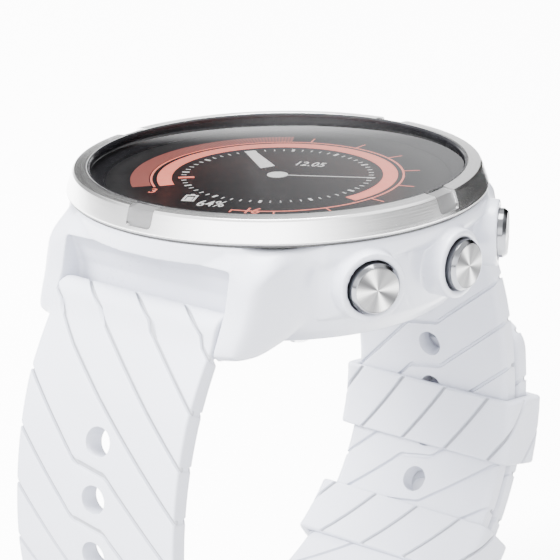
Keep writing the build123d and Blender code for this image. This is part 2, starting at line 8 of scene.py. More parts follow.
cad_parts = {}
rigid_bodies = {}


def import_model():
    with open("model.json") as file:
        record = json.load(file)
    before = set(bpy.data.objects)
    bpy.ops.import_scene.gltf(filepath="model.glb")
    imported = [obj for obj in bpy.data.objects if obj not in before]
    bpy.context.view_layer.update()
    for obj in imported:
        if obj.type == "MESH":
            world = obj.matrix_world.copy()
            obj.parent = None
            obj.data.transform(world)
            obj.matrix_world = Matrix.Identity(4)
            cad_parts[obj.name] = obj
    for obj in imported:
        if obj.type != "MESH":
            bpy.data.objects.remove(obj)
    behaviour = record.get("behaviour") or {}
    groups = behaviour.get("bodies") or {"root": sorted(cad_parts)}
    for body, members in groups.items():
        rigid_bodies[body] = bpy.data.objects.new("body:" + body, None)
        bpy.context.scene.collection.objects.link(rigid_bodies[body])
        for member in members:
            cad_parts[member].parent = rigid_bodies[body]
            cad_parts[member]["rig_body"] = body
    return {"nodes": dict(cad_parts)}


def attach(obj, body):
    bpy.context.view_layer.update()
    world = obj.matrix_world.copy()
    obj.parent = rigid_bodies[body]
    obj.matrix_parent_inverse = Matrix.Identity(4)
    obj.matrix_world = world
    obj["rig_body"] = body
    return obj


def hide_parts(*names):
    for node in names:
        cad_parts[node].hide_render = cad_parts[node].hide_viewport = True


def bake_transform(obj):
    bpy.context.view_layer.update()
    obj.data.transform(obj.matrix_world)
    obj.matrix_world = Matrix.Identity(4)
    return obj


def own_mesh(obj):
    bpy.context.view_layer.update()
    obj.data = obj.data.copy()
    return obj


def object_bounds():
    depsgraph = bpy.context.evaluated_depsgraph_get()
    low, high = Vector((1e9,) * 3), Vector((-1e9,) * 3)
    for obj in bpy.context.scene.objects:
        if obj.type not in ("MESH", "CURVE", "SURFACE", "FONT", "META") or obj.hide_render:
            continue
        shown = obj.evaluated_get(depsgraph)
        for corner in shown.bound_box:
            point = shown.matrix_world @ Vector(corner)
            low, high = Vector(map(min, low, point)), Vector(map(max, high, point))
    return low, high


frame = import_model()
NODES = frame["nodes"]
CAD_BOX = [[float(v) for v in c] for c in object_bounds()]
MM = 0.001
scene = bpy.context.scene


# ---------------------------------------------------------------- materials
class Mat:
    """Small helper for building node materials."""

    def __init__(self, name):
        self.m = bpy.data.materials.new(name)
        self.m.use_nodes = True
        self.t = self.m.node_tree
        self.b = self.t.nodes["Principled BSDF"]

    def n(self, kind, **props):
        nd = self.t.nodes.new(kind)
        for k, v in props.items():
            if k.startswith("i_"):
                key = k[2:].replace("_", " ")
                nd.inputs[int(key) if key.isdigit() else key].default_value = v
            else:
                setattr(nd, k, v)
        return nd

    def l(self, a, b):
        self.t.links.new(a, b)

    def coords(self, kind="Object"):
        return self.n("ShaderNodeTexCoord").outputs[kind]

    def noise(self, vec, scale, detail=3.0, rough=0.55, dims="3D"):
        nd = self.n("ShaderNodeTexNoise")
        nd.noise_dimensions = dims
        nd.inputs["Scale"].default_value = scale
        nd.inputs["Detail"].default_value = detail
        nd.inputs["Roughness"].default_value = rough
        if dims == "1D":
            self.l(vec, nd.inputs["W"])
        else:
            self.l(vec, nd.inputs["Vector"])
        return nd.outputs[0]

    def ramp(self, fac, stops):
        nd = self.n("ShaderNodeValToRGB")
        cr = nd.color_ramp
        while len(cr.elements) < len(stops):
            cr.elements.new(0.5)
        for e, (p, c) in zip(cr.elements, stops):
            e.position = p
            e.color = (*c, 1) if len(c) == 3 else c
        self.l(fac, nd.inputs[0])
        return nd.outputs[0]

    def math(self, op, a, b=None):
        nd = self.n("ShaderNodeMath", operation=op)
        for i, v in enumerate((a, b)):
            if v is None:
                continue
            if isinstance(v, (int, float)):
                nd.inputs[i].default_value = v
            else:
                self.l(v, nd.inputs[i])
        return nd.outputs[0]

    def rng(self, v, a, b, c, d):
        nd = self.n("ShaderNodeMapRange")
        self.l(v, nd.inputs[0])
        for i, x in enumerate((a, b, c, d)):
            nd.inputs[i + 1].default_value = x
        return nd.outputs[0]

    def bump(self, h, strength, dist=0.0001):
        nd = self.n("ShaderNodeBump")
        nd.inputs["Strength"].default_value = strength
        nd.inputs["Distance"].default_value = dist
        self.l(h, nd.inputs["Height"])
        self.l(nd.outputs[0], self.b.inputs["Normal"])
        return nd

    def set(self, **kw):
        for k, v in kw.items():
            self.b.inputs[k.replace("_", " ")].default_value = v
        return self

    def polar(self, vec):
        """radius, height and angle (0 to 1) about Z, as sockets."""
        sp = self.n("ShaderNodeSeparateXYZ")
        self.l(vec, sp.inputs[0])
        x, y, z = sp.outputs
        r = self.math("SQRT", self.math("ADD", self.math("MULTIPLY", x, x), self.math("MULTIPLY", y, y)))
        a = self.math("ADD", self.math("DIVIDE", self.math("ARCTAN2", y, x), 2 * math.pi), 0.5)
        return r, z, a


def mat_white(name, base, rough, spec, fine, coat=0.0, sss=0.0):
    m = Mat(name)
    v = m.coords()
    n1 = m.noise(v, 90, 4)
    n2 = m.noise(v, 1800, 2)
    c0 = tuple(x * 0.955 for x in base)
    m.l(m.ramp(n1, [(0.3, c0), (0.7, base)]), m.b.inputs["Base Color"])
    m.l(m.rng(m.math("ADD", m.math("MULTIPLY", n1, 0.5), m.math("MULTIPLY", n2, 0.5)), 0.35, 0.65, rough - 0.06, rough + 0.06), m.b.inputs["Roughness"])
    m.bump(m.noise(v, fine, 3, 0.6), 0.12, 0.00004)
    m.set(Specular_IOR_Level=spec, Coat_Weight=coat, Coat_Roughness=0.12, Subsurface_Weight=sss, Subsurface_Scale=0.0012)
    return m.m


def mat_turned(name, base, rough, axis_freq=26000, depth=0.35):
    """Steel with fine turning marks that run round Z."""
    m = Mat(name)
    v = m.coords()
    r, z, a = m.polar(v)
    cb = m.n("ShaderNodeCombineXYZ")
    m.l(m.math("MULTIPLY", r, 1.0), cb.inputs[0])
    m.l(z, cb.inputs[1])
    m.l(m.math("MULTIPLY", a, 0.0009), cb.inputs[2])
    n1 = m.noise(cb.outputs[0], axis_freq, 3, 0.7)
    n2 = m.noise(cb.outputs[0], axis_freq / 7, 2, 0.5)
    mix = m.math("ADD", m.math("MULTIPLY", n1, 0.6), m.math("MULTIPLY", n2, 0.4))
    m.l(m.ramp(mix, [(0.3, tuple(x * 0.82 for x in base)), (0.7, base)]), m.b.inputs["Base Color"])
    m.l(m.rng(mix, 0.3, 0.7, rough - 0.05, rough + 0.08), m.b.inputs["Roughness"])
    m.bump(mix, depth, 0.00002)
    m.set(Metallic=1.0)
    return m.m


def mat_steel(name, base=(0.62, 0.62, 0.63), rough=0.28, scale=(1, 1, 1), freq=5200):
    """Straight-brushed steel: noise stretched along one axis."""
    m = Mat(name)
    mp = m.n("ShaderNodeMapping")
    mp.inputs["Scale"].default_value = scale
    m.l(m.coords(), mp.inputs[0])
    n1 = m.noise(mp.outputs[0], freq, 3, 0.6)
    m.l(m.ramp(n1, [(0.3, tuple(x * 0.8 for x in base)), (0.7, base)]), m.b.inputs["Base Color"])
    m.l(m.rng(n1, 0.3, 0.7, rough - 0.06, rough + 0.08), m.b.inputs["Roughness"])
    m.bump(n1, 0.2, 0.00002)
    m.set(Metallic=1.0)
    return m.m


def mat_brushed_painted_rays(name):
    """Radially brushed face: fine brush grain, with broad bright and dark rays about the local Z axis painted into the
    base colour as painted reflections.
    """
    m = Mat(name)
    v = m.coords()
    r, z, a = m.polar(v)
    fine = m.noise(a, 260, 2, 0.7, "1D")
    # c1 and c2 are broad wedges of painted reflection; fine is the real brush grain
    c1 = m.math("MULTIPLY", m.math("SINE", m.math("ADD", m.math("MULTIPLY", a, 2 * math.pi * 4), 0.7)), 0.5)
    c2 = m.math("MULTIPLY", m.math("SINE", m.math("ADD", m.math("MULTIPLY", a, 2 * math.pi * 6), 2.1)), 0.34)
    w = m.math("ADD", m.math("ADD", c1, c2), m.math("MULTIPLY", m.math("SUBTRACT", fine, 0.5), 1.3))
    fac = m.rng(w, -0.9, 0.9, 0.0, 1.0)
    # the ramp paints the rays' highlights and dark reflections into the base colour
    m.l(m.ramp(fac, [(0.0, (0.03, 0.03, 0.031)), (0.35, (0.085, 0.085, 0.087)), (0.6, (0.17, 0.17, 0.17)), (1.0, (0.50, 0.50, 0.49))]), m.b.inputs["Base Color"])
    m.l(m.rng(fine, 0.3, 0.7, 0.36, 0.52), m.b.inputs["Roughness"])
    m.bump(fine, 0.25, 0.00003)
    m.set(Metallic=1.0)
    return m.m


def mat_dark(name, base=(0.012, 0.012, 0.014), rough=0.3, freq=900, spec=0.5):
    m = Mat(name)
    v = m.coords()
    n1 = m.noise(v, freq, 3)
    m.l(m.ramp(n1, [(0.3, base), (0.7, tuple(min(1, x * 1.6 + 0.002) for x in base))]), m.b.inputs["Base Color"])
    m.l(m.rng(n1, 0.3, 0.7, rough - 0.05, rough + 0.07), m.b.inputs["Roughness"])
    m.bump(n1, 0.08, 0.00003)
    m.set(Specular_IOR_Level=spec)
    return m.m


def mat_glow(name, lo, hi, strength, freq=1500, stripe=0):
    """Lit graphic on the display."""
    m = Mat(name)
    v = m.coords()
    n1 = m.noise(v, freq, 2)
    if stripe:
        r, z, a = m.polar(v)
        s = m.math("SINE", m.math("MULTIPLY", a, 2 * math.pi * stripe))
        n1 = m.math("ADD", m.math("MULTIPLY", m.rng(s, -1, 1, 0, 1), 0.8), m.math("MULTIPLY", n1, 0.2))
    col = m.ramp(n1, [(0.25, lo), (0.75, hi)])
    m.l(m.ramp(n1, [(0.25, tuple(x * 0.05 for x in lo)), (0.75, tuple(x * 0.05 for x in hi))]), m.b.inputs["Base Color"])
    m.l(col, m.b.inputs["Emission Color"])
    m.set(Emission_Strength=strength, Roughness=0.5)
    m.bump(n1, 0.02, 0.00001)
    return m.m


def mat_display():
    m = Mat("display")
    v = m.coords()
    r, z, a = m.polar(v)
    n1 = m.noise(v, 260, 2)
    rad = m.math("ADD", m.math("MULTIPLY", n1, 0.0012), r)
    col = m.ramp(m.math("MULTIPLY", rad, 46.0), [(0.0, (0.0035, 0.0035, 0.004)), (0.80, (0.005, 0.005, 0.0055)), (0.9, (0.012, 0.012, 0.0125)), (1.0, (0.006, 0.006, 0.0065))])
    m.l(col, m.b.inputs["Base Color"])
    m.l(m.rng(n1, 0.3, 0.7, 0.32, 0.42), m.b.inputs["Roughness"])
    m.bump(n1, 0.02, 0.00002)
    m.set(Specular_IOR_Level=0.05)
    return m.m


def mat_glass():
    m = Mat("lens")
    fr = m.n("ShaderNodeFresnel")
    fr.inputs["IOR"].default_value = 1.52
    v = m.coords()
    n1 = m.noise(v, 300, 2)
    m.l(m.ramp(n1, [(0.0, (0.95, 0.96, 0.98)), (1.0, (1.0, 1.0, 1.0))]), m.b.inputs["Base Color"])
    m.l(m.rng(n1, 0.3, 0.7, 0.015, 0.03), m.b.inputs["Roughness"])
    m.l(m.math("MULTIPLY", fr.outputs[0], 0.9), m.b.inputs["Alpha"])
    m.set(Metallic=1.0)
    if hasattr(m.m, "surface_render_method"):
        m.m.surface_render_method = "BLENDED"
    return m.m


def mat_clear():
    """Lower face and edge of the lens, bonded to the display, so it hardly reflects."""
    m = Mat("lens_under")
    n1 = m.noise(m.coords(), 300, 2)
    m.l(m.ramp(n1, [(0.0, (0.02, 0.02, 0.02)), (1.0, (0.03, 0.03, 0.03))]), m.b.inputs["Base Color"])
    m.l(m.rng(n1, 0.3, 0.7, 0.3, 0.4), m.b.inputs["Roughness"])
    m.set(Alpha=0.01, Specular_IOR_Level=0.0)
    if hasattr(m.m, "surface_render_method"):
        m.m.surface_render_method = "BLENDED"
    return m.m


def mat_board():
    m = Mat("board")
    v = m.coords()
    n1 = m.noise(v, 700, 2)
    vo = m.n("ShaderNodeTexVoronoi", distance="MANHATTAN")
    vo.inputs["Scale"].default_value = 620
    m.l(v, vo.inputs["Vector"])
    m.l(m.ramp(vo.outputs[0], [(0.0, (0.10, 0.30, 0.14)), (0.35, (0.02, 0.12, 0.05)), (1.0, (0.015, 0.09, 0.04))]), m.b.inputs["Base Color"])
    m.l(m.rng(n1, 0.3, 0.7, 0.3, 0.5), m.b.inputs["Roughness"])
    m.bump(vo.outputs[0], 0.2, 0.00005)
    return m.m


WHITE = mat_white("case_white", (0.56, 0.578, 0.65), 0.32, 0.5, 2600, coat=0.2, sss=0.0)
COVER = mat_white("cover_white", (0.52, 0.53, 0.56), 0.38, 0.5, 2600)
STRAP = mat_white("strap_white", (0.56, 0.578, 0.65), 0.52, 0.4, 5200)
# groove floors of the strap and keepers: the strap white darkened as painted shade in the narrow grooves; the real
# strap is one even white
GROOVE_SHADE = mat_white("strap_groove_painted_shade", (0.33, 0.337, 0.365), 0.7, 0.15, 5200)
BEZEL = mat_turned("bezel_steel", (0.84, 0.84, 0.84), 0.21)
BLAST = mat_steel("bezel_flat", (0.25, 0.25, 0.253), 0.48, freq=9000)
BLACK = mat_dark("lens_ring_black", (0.004, 0.004, 0.005), 0.16)
SEAL = mat_dark("seal_black", (0.02, 0.02, 0.021), 0.6, spec=0.3)
HOLDER = mat_dark("holder_black", (0.012, 0.012, 0.013), 0.45)
GREY = mat_dark("frame_grey", (0.10, 0.10, 0.105), 0.5)
SENSOR = mat_dark("sensor_black", (0.008, 0.006, 0.008), 0.08)
DISPLAY = mat_display()
GLASS = mat_glass()
CLEAR = mat_clear()
CORAL = mat_glow("coral", (0.86, 0.19, 0.13), (1.0, 0.25, 0.17), 1.9)
CORAL_D = mat_glow("coral_hatched", (0.34, 0.062, 0.045), (0.78, 0.16, 0.115), 0.62, stripe=260)
PALE = mat_glow("pale", (0.80, 0.80, 0.79), (0.95, 0.95, 0.94), 1.5)
SUN_PAINTED_RAYS = mat_brushed_painted_rays("pusher_sunburst_painted_reflection")
RIM = mat_turned("pusher_rim", (0.14, 0.143, 0.152), 0.14, 9000, 0.15)
STEEL = mat_steel("turned_steel", (0.60, 0.60, 0.61), 0.3, (1, 1, 1), 6000)
BUCKLE = mat_steel("buckle_steel", (0.66, 0.66, 0.66), 0.26, (0.05, 1, 1), 9000)
GOLD = mat_steel("gold", (0.86, 0.62, 0.26), 0.22, (1, 1, 1), 6000)
COPPER = mat_steel("copper", (0.80, 0.42, 0.25), 0.3, (1, 1, 1), 6000)
FOIL = mat_steel("foil", (0.55, 0.56, 0.58), 0.35, (1, 0.1, 1), 5000)
BOARD = mat_board()


# ---------------------------------------------------------------- mesh helpers (millimetres in, metres out)
def obj_from(name, verts, faces, mats, body, replaces=(), mi=None, smooth=True, matrix=None, merge=0.0, angle=32):
    me = bpy.data.meshes.new(name)
    me.from_pydata([Vector(v) * MM for v in verts], [], faces)
    o = bpy.data.objects.new(name, me)
    scene.collection.objects.link(o)
    if not isinstance(mats, (list, tuple)):
        mats = [mats]
    for m in mats:
        me.materials.append(m)
    if mi:
        me.polygons.foreach_set("material_index", mi)
    bm = bmesh.new()
    bm.from_mesh(me)
    if merge:
        bmesh.ops.remove_doubles(bm, verts=bm.verts, dist=merge * MM)
        bmesh.ops.dissolve_degenerate(bm, dist=merge * MM * 0.5, edges=bm.edges)
    bmesh.ops.recalc_face_normals(bm, faces=bm.faces)
    bm.to_mesh(me)
    bm.free()
    if matrix is not None:
        o.matrix_world = matrix
    if smooth:
        shade(o, angle)
    place(o, body, replaces)
    return o


def shade(o, angle=32):
    me = o.data
    me.polygons.foreach_set("use_smooth", [True] * len(me.polygons))
    bm = bmesh.new()
    bm.from_mesh(me)
    lim = math.radians(angle)
    for e in bm.edges:
        e.smooth = not (len(e.link_faces) == 2 and e.calc_face_angle(0.0) > lim)
    bm.to_mesh(me)
    bm.free()


def place(o, body, replaces=()):
    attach(o, body)
    if replaces:
        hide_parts(*([replaces] if isinstance(replaces, str) else replaces))
    return o


def apply_mods(o):
    dg = bpy.context.evaluated_depsgraph_get()
    me = bpy.data.meshes.new_from_object(o.evaluated_get(dg))
    old = o.data
    o.modifiers.clear()
    o.data = me
    bpy.data.meshes.remove(old)
    return o


def smooth01(t):
    t = max(0.0, min(1.0, t))
    return t * t * (3 - 2 * t)


def rounded(pts, radii, n=6):
    """Closed polyline with rounded corners. radii: one per point (0 keeps it sharp)."""
    out = []
    k = len(pts)
    for i, p in enumerate(pts):
        rad = radii[i] if isinstance(radii, (list, tuple)) else radii
        if rad <= 0:
            out.append(tuple(p))
            continue
        p = Vector(p).to_2d() if len(p) == 2 else Vector(p)
        a = Vector(pts[i - 1]) - p
        b = Vector(pts[(i + 1) % k]) - p
        la, lb = a.length, b.length
        a.normalize(), b.normalize()
        ang = a.angle(b)
        if ang > math.pi - 0.02:
            out.append(tuple(p))
            continue
        d = min(rad / math.tan(ang / 2), la * 0.48, lb * 0.48)
        rr = d * math.tan(ang / 2)
        c = p + (a + b).normalized() * (rr / math.sin(ang / 2))
        s, e = p + a * d - c, p + b * d - c
        for j in range(n + 1):
            t = j / n
            w = s.angle(e)
            v = (s * math.sin((1 - t) * w) + e * math.sin(t * w)) / max(math.sin(w), 1e-9)
            out.append(tuple(c + v))
    return out


def lathe_mesh(profile, segs, closed=True):
    """Profile of (r, z) turned about Z; points with r = 0 become poles."""
    verts, faces, rings = [], [], []
    for r, z in profile:
        if r < 1e-6:
            rings.append([len(verts)])
            verts.append((0, 0, z))
        else:
            base = len(verts)
            rings.append(list(range(base, base + segs)))
            verts += [(r * math.cos(2 * math.pi * k / segs), r * math.sin(2 * math.pi * k / segs), z) for k in range(segs)]
    m = len(rings)
    src = []
    for i in range(m if closed else m - 1):
        a, b = rings[i], rings[(i + 1) % m]
        if len(a) == 1 and len(b) == 1:
            continue
        for k in range(segs):
            k2 = (k + 1) % segs
            if len(a) == 1:
                faces.append((a[0], b[k], b[k2]))
            elif len(b) == 1:
                faces.append((a[k], b[0], a[k2]))
            else:
                faces.append((a[k], b[k], b[k2], a[k2]))
            src.append(i)
    return verts, faces, src


def lathe(name, profile, mats, body, replaces=(), segs=192, matrix=None, mi=None, angle=32):
    v, f, src = lathe_mesh(profile, segs)
    return obj_from(name, v, f, mats, body, replaces, mi=[mi(profile[i], profile[(i + 1) % len(profile)]) for i in src] if mi else None, matrix=matrix, angle=angle)


def boolean(o, cutters, op="DIFFERENCE"):
    for c in cutters:
        md = o.modifiers.new("b", "BOOLEAN")
        md.operation = op
        md.solver = "EXACT"
        md.object = c
    bpy.context.view_layer.update()
    apply_mods(o)
    for c in cutters:
        me = c.data
        bpy.data.objects.remove(c)
        bpy.data.meshes.remove(me)
    return o


def recolour(o, mats):
    idx = [p.material_index if p.material_index < len(mats) else 0 for p in o.data.polygons]
    o.data.materials.clear()
    for m in mats:
        o.data.materials.append(m)
    o.data.polygons.foreach_set("material_index", idx)


def raw(name, verts, faces):
    me = bpy.data.meshes.new(name)
    me.from_pydata([Vector(v) * MM for v in verts], [], faces)
    o = bpy.data.objects.new(name, me)
    scene.collection.objects.link(o)
    bm = bmesh.new()
    bm.from_mesh(me)
    bmesh.ops.recalc_face_normals(bm, faces=bm.faces)
    bm.to_mesh(me)
    bm.free()
    return o


def prism(outline, a, b, fn):
    """Extrudes a closed outline between parameters a and b; fn(u, v, w) gives the point."""
    n = len(outline)
    verts = [fn(u, v, a) for u, v in outline] + [fn(u, v, b) for u, v in outline]
    faces = [tuple(range(n))[::-1], tuple(range(n, 2 * n))]
    faces += [(i, (i + 1) % n, n + (i + 1) % n, n + i) for i in range(n)]
    return verts, faces


# ---------------------------------------------------------------- bezel, gasket, glass, display
bezel_pts = [
    (22.00, 12.42), (22.88, 12.42), (22.88, 13.86), (24.80, 13.86), (24.98, 14.02), (24.98, 14.22), (24.22, 16.40),
    (24.00, 16.64), (22.58, 16.79), (22.46, 16.74), (22.46, 15.02), (21.42, 15.02), (21.42, 13.92), (22.00, 13.92),
]
prof = rounded(bezel_pts, [0, 0, 0, 0.08, 0.12, 0.25, 0.18, 0.14, 0.1, 0.06, 0, 0, 0, 0], 5)
bezel = lathe("bezel_ring", prof, [BEZEL, BLAST], "case", "bezel", 288)
cut = []
PAD = [(24.60 - 0.38 * 0.349, 14.60), (24.60 - 1.93 * 0.349, 16.15), (23.78, 16.38), (22.30, 16.56), (22.30, 17.6), (26.5, 17.6), (26.5, 14.60)]
for q in range(4):
    a = q * math.pi / 2
    # each flat runs up the side and across the top ring, with rounded lower corners
    us = [-1.85, -1.83, -1.76, -1.66, -1.52, -1.35, 0.0, 1.35, 1.52, 1.66, 1.76, 1.83, 1.85]
    vs, fs = [], []
    for u in us:
        e = max(0.0, abs(u) - 1.35)
        zb = 14.60 + 0.5 - math.sqrt(max(0.0, 0.25 - e * e))
        sl = [(24.60 - (zb - 14.22) * 0.349, zb)] + PAD[1:6] + [(26.5, zb)]
        vs += [(rr * math.cos(a) - u * math.sin(a), rr * math.sin(a) + u * math.cos(a), zz) for rr, zz in sl]
    m7 = len(PAD)
    for i in range(len(us) - 1):
        fs += [(i * m7 + j, i * m7 + (j + 1) % m7, (i + 1) * m7 + (j + 1) % m7, (i + 1) * m7 + j) for j in range(m7)]
    fs += [tuple(range(m7))[::-1], tuple((len(us) - 1) * m7 + j for j in range(m7))]
    cut.append(raw("cut", vs, fs))
mats_keep = list(bezel.data.materials)
boolean(bezel, cut)
bezel.data.materials.clear()
for m in mats_keep:
    bezel.data.materials.append(m)
for p in bezel.data.polygons:
    c = p.center / MM
    r = max(abs(c.x), abs(c.y))
    t = min(abs(c.x), abs(c.y))
    side = 24.98 - (c.z - 14.22) * 0.349
    top = 16.79 - (r - 22.66) * 0.112
    p.material_index = 1 if (t < 1.84 and c.z > 14.58 and r > 22.5 and r < side - 0.2 and c.z < top - 0.08) or c.z < 14.17 else 0
shade(bezel, 28)

lathe("lens_ring", rounded([(20.46, 14.86), (21.52, 15.00), (22.44, 15.04), (22.44, 16.75), (22.30, 16.765), (22.17, 16.56), (22.17, 15.19), (21.52, 15.19), (20.60, 15.10)], [0, 0, 0, 0.04, 0.05, 0.03, 0, 0, 0.05], 3), BLACK, "case", "crystal_gasket", 192)
lathe("lens", rounded([(0, 15.21), (22.14, 15.21), (22.14, 16.28), (0, 16.29)], [0, 0.05, 0.1, 0], 4), [CLEAR, GLASS], "case", "crystal", 192, mi=lambda p, q: 1 if min(p[1], q[1]) > 16.274 else 0)
lathe("display_disc", [(0, 12.2), (20.38, 12.2), (20.40, 14.80), (20.36, 14.84), (17.6, 14.84), (12.0, 14.84), (6.0, 14.84), (0, 14.84)], DISPLAY, "case", "display_panel", 192)
lathe("lens_inner_shade", rounded([(20.38, 14.855), (20.38, 14.90), (21.48, 15.18), (21.48, 15.03)], 0, 1), BLACK, "case", (), 192)
lathe("bezel_seal_ring", rounded([(23.0, 13.61), (24.72, 13.61), (24.72, 13.85), (23.0, 13.85)], 0.05, 3), SEAL, "case", "bezel_seal", 192)

Z1 = 14.862


def flat_arc(r0, r1, a0, a1, z=Z1, step=1.5, th=0.02):
    n = max(2, int(abs(a1 - a0) / step))
    v, f = [], []
    for i in range(n + 1):
        a = math.radians(a0 + (a1 - a0) * i / n)
        for r in (r0, r1):
            v.append((r * math.cos(a), r * math.sin(a), z))
            v.append((r * math.cos(a), r * math.sin(a), z - th))
    for i in range(n):
        b = 4 * i
        f += [(b, b + 2, b + 6, b + 4), (b + 1, b + 5, b + 7, b + 3), (b, b + 4, b + 5, b + 1), (b + 2, b + 3, b + 7, b + 6)]
    f += [(0, 1, 3, 2), (4 * n, 4 * n + 2, 4 * n + 3, 4 * n + 1)]
    return v, f


def poly_flat(pts, z=Z1, th=0.02):
    n = len(pts)
    v = [(x, y, z) for x, y in pts] + [(x, y, z - th) for x, y in pts]
    f = [tuple(range(n)), tuple(range(n, 2 * n))[::-1]] + [(i, n + i, n + (i + 1) % n, (i + 1) % n) for i in range(n)]
    return v, f


def bar(r0, r1, a, w0, w1=None, z=Z1):
    w1 = w0 if w1 is None else w1
    a = math.radians(a)
    d, t = Vector((math.cos(a), math.sin(a))), Vector((-math.sin(a), math.cos(a)))
    p = [d * r0 - t * w0 / 2, d * r1 - t * w1 / 2, d * r1 + t * w1 / 2, d * r0 + t * w0 / 2]
    return poly_flat([tuple(x) for x in p], z)


def join(parts):
    v, f = [], []
    for pv, pf in parts:
        b = len(v)
        v += pv
        f += [tuple(i + b for i in q) for q in pf]
    return v, f


def text_mesh(s, size, x, y, ang, z=Z1, shear=0.0, spacing=1.0, sx=1.0):
    cu = bpy.data.curves.new("t", "FONT")
    cu.body = s
    cu.size = size
    cu.shear = shear
    cu.space_character = spacing
    cu.offset = 0.03
    o = bpy.data.objects.new("t", cu)
    scene.collection.objects.link(o)
    bpy.context.view_layer.update()
    me = bpy.data.meshes.new_from_object(o.evaluated_get(bpy.context.evaluated_depsgraph_get()))
    c, sn = math.cos(math.radians(ang)), math.sin(math.radians(ang))
    v = [(x + p.co.x * sx * c - p.co.y * sn, y + p.co.x * sx * sn + p.co.y * c, z) for p in me.vertices]
    f = [tuple(p.vertices) for p in me.polygons]
    bpy.data.objects.remove(o)
    bpy.data.curves.remove(cu)
    bpy.data.meshes.remove(me)
    return v, f


band = flat_arc(12.55, 14.28, 234.0, -13.0)
line = flat_arc(14.84, 15.08, 235.0, -72.0)
ticks = [bar(15.05, 16.95, a, 0.16) for a in (112.5, 88.5, 65.0, 41.5, 17.8, -6.0, -30.0, -53.0)]
foot = [bar(14.95, 15.8, -71.5, 0.16)]
mark = bar(9.85, 11.75, -139.0, 0.62, None, Z1 + 0.03)
v, f = join([band, line, mark] + ticks + foot)
obj_from("dial_coral", v, f, CORAL, "case", (), smooth=False)
v, f = join([flat_arc(15.22, 17.45, 232.5, 121.5)])
obj_from("dial_coral_hatched", v, f, CORAL_D, "case", (), smooth=False)
# white scale, hand, hub and baton
parts = []
for k in range(60):
    a = 28.4 + 6 * k
    parts.append(bar(10.70, 11.55, a, 0.34) if k % 5 == 0 else bar(10.85, 11.45, a, 0.14))
parts.append(bar(1.0, 11.7, 28.4, 0.20, 0.16, Z1 + 0.02))
parts.append(poly_flat([(1.25 * math.cos(math.radians(q * 12)), 1.25 * math.sin(math.radians(q * 12))) for q in range(30)], Z1 + 0.04))
bd = Vector((math.cos(math.radians(146.0)), math.sin(math.radians(146.0))))
bt = Vector((-bd.y, bd.x))
parts.append(poly_flat([tuple(bd * 3.5 + bt * 1.0), tuple(bd * 3.9 - bt * 0.9), tuple(bd * 11.5 - bt * 0.62), tuple(bd * 11.5 + bt * 0.62)], Z1 + 0.02))
parts.append(text_mesh("12.05", 2.5, -1.2, 4.45, 22, spacing=1.05, sx=0.66, shear=0.12))
parts.append(text_mesh("64%", 3.1, 0.22, -15.35, 26, spacing=1.02, sx=0.62, shear=0.1))
# small battery symbol left of the number
bx = Vector((-2.35, -14.75))
ex, ey = Vector((math.cos(math.radians(26)), math.sin(math.radians(26)))), Vector((-math.sin(math.radians(26)), math.cos(math.radians(26))))
for (u0, u1, w0, w1) in ((0, 1.5, 0, 0.25), (0, 1.5, 2.15, 2.4), (0, 0.25, 0, 2.4), (1.25, 1.5, 0, 2.4), (0.5, 1.0, 2.4, 2.75), (0.4, 1.1, 0.4, 1.6)):
    parts.append(poly_flat([tuple(bx + ex * a + ey * b) for a, b in ((u0, w0), (u1, w0), (u1, w1), (u0, w1))]))
v, f = join(parts)
obj_from("dial_pale", v, f, PALE, "case", (), smooth=False)
parts = [text_mesh("16", 2.9, 6.3, -14.55, 26, sx=0.7, shear=0.1), text_mesh("3", 2.4, -7.8, -14.5, 26, sx=0.8, shear=0.1)]
v, f = join(parts)
obj_from("dial_coral_numbers", v, f, CORAL, "case", (), smooth=False)


# ---------------------------------------------------------------- case middle: remeshed, softened and sculpted
def sculpt(p):
    x, y, z = p
    r = math.hypot(x, y)
    # lug shoulders fall away outside the bezel
    if r > 24.9 and abs(y) > 15:
        z = min(z, 13.15 - 0.85 * (r - 24.9))
    # a scoop runs round each pusher boss; neighbouring scoops meet in a valley
    if r > 23.0 and x > 0 and z > 2.0:
        ang = math.degrees(math.atan2(y, x))
        near = min((abs(ang - b), b) for b in (28.2, 0.0, -28.2))[1]
        b = math.radians(near)
        t, v = -x * math.sin(b) + y * math.cos(b), z - 8.7
        rho = math.hypot(t, v)
        if 4.0 < rho < 7.6:
            if rho < 4.25:
                fl = 26.4 - (rho - 4.0) / 0.25 * 1.9
            elif rho < 6.4:
                fl = 24.5 - (rho - 4.25) / 2.15 * 0.75
            else:
                fl = 23.75 + (rho - 6.4) / 1.2 * 1.7
            inner = abs(ang) < 28.2
            if inner:
                fl = min(fl, 23.9) - 0.15 * max(0.0, 10.0 - z)
            w = smooth01((12.1 - z) / 1.6)
            tgt = fl + (r - fl) * (1 - w)
            if tgt < r:
                k = max(tgt, 22.9) / r
                x, y = x * k, y * k
    return (x, y, z)


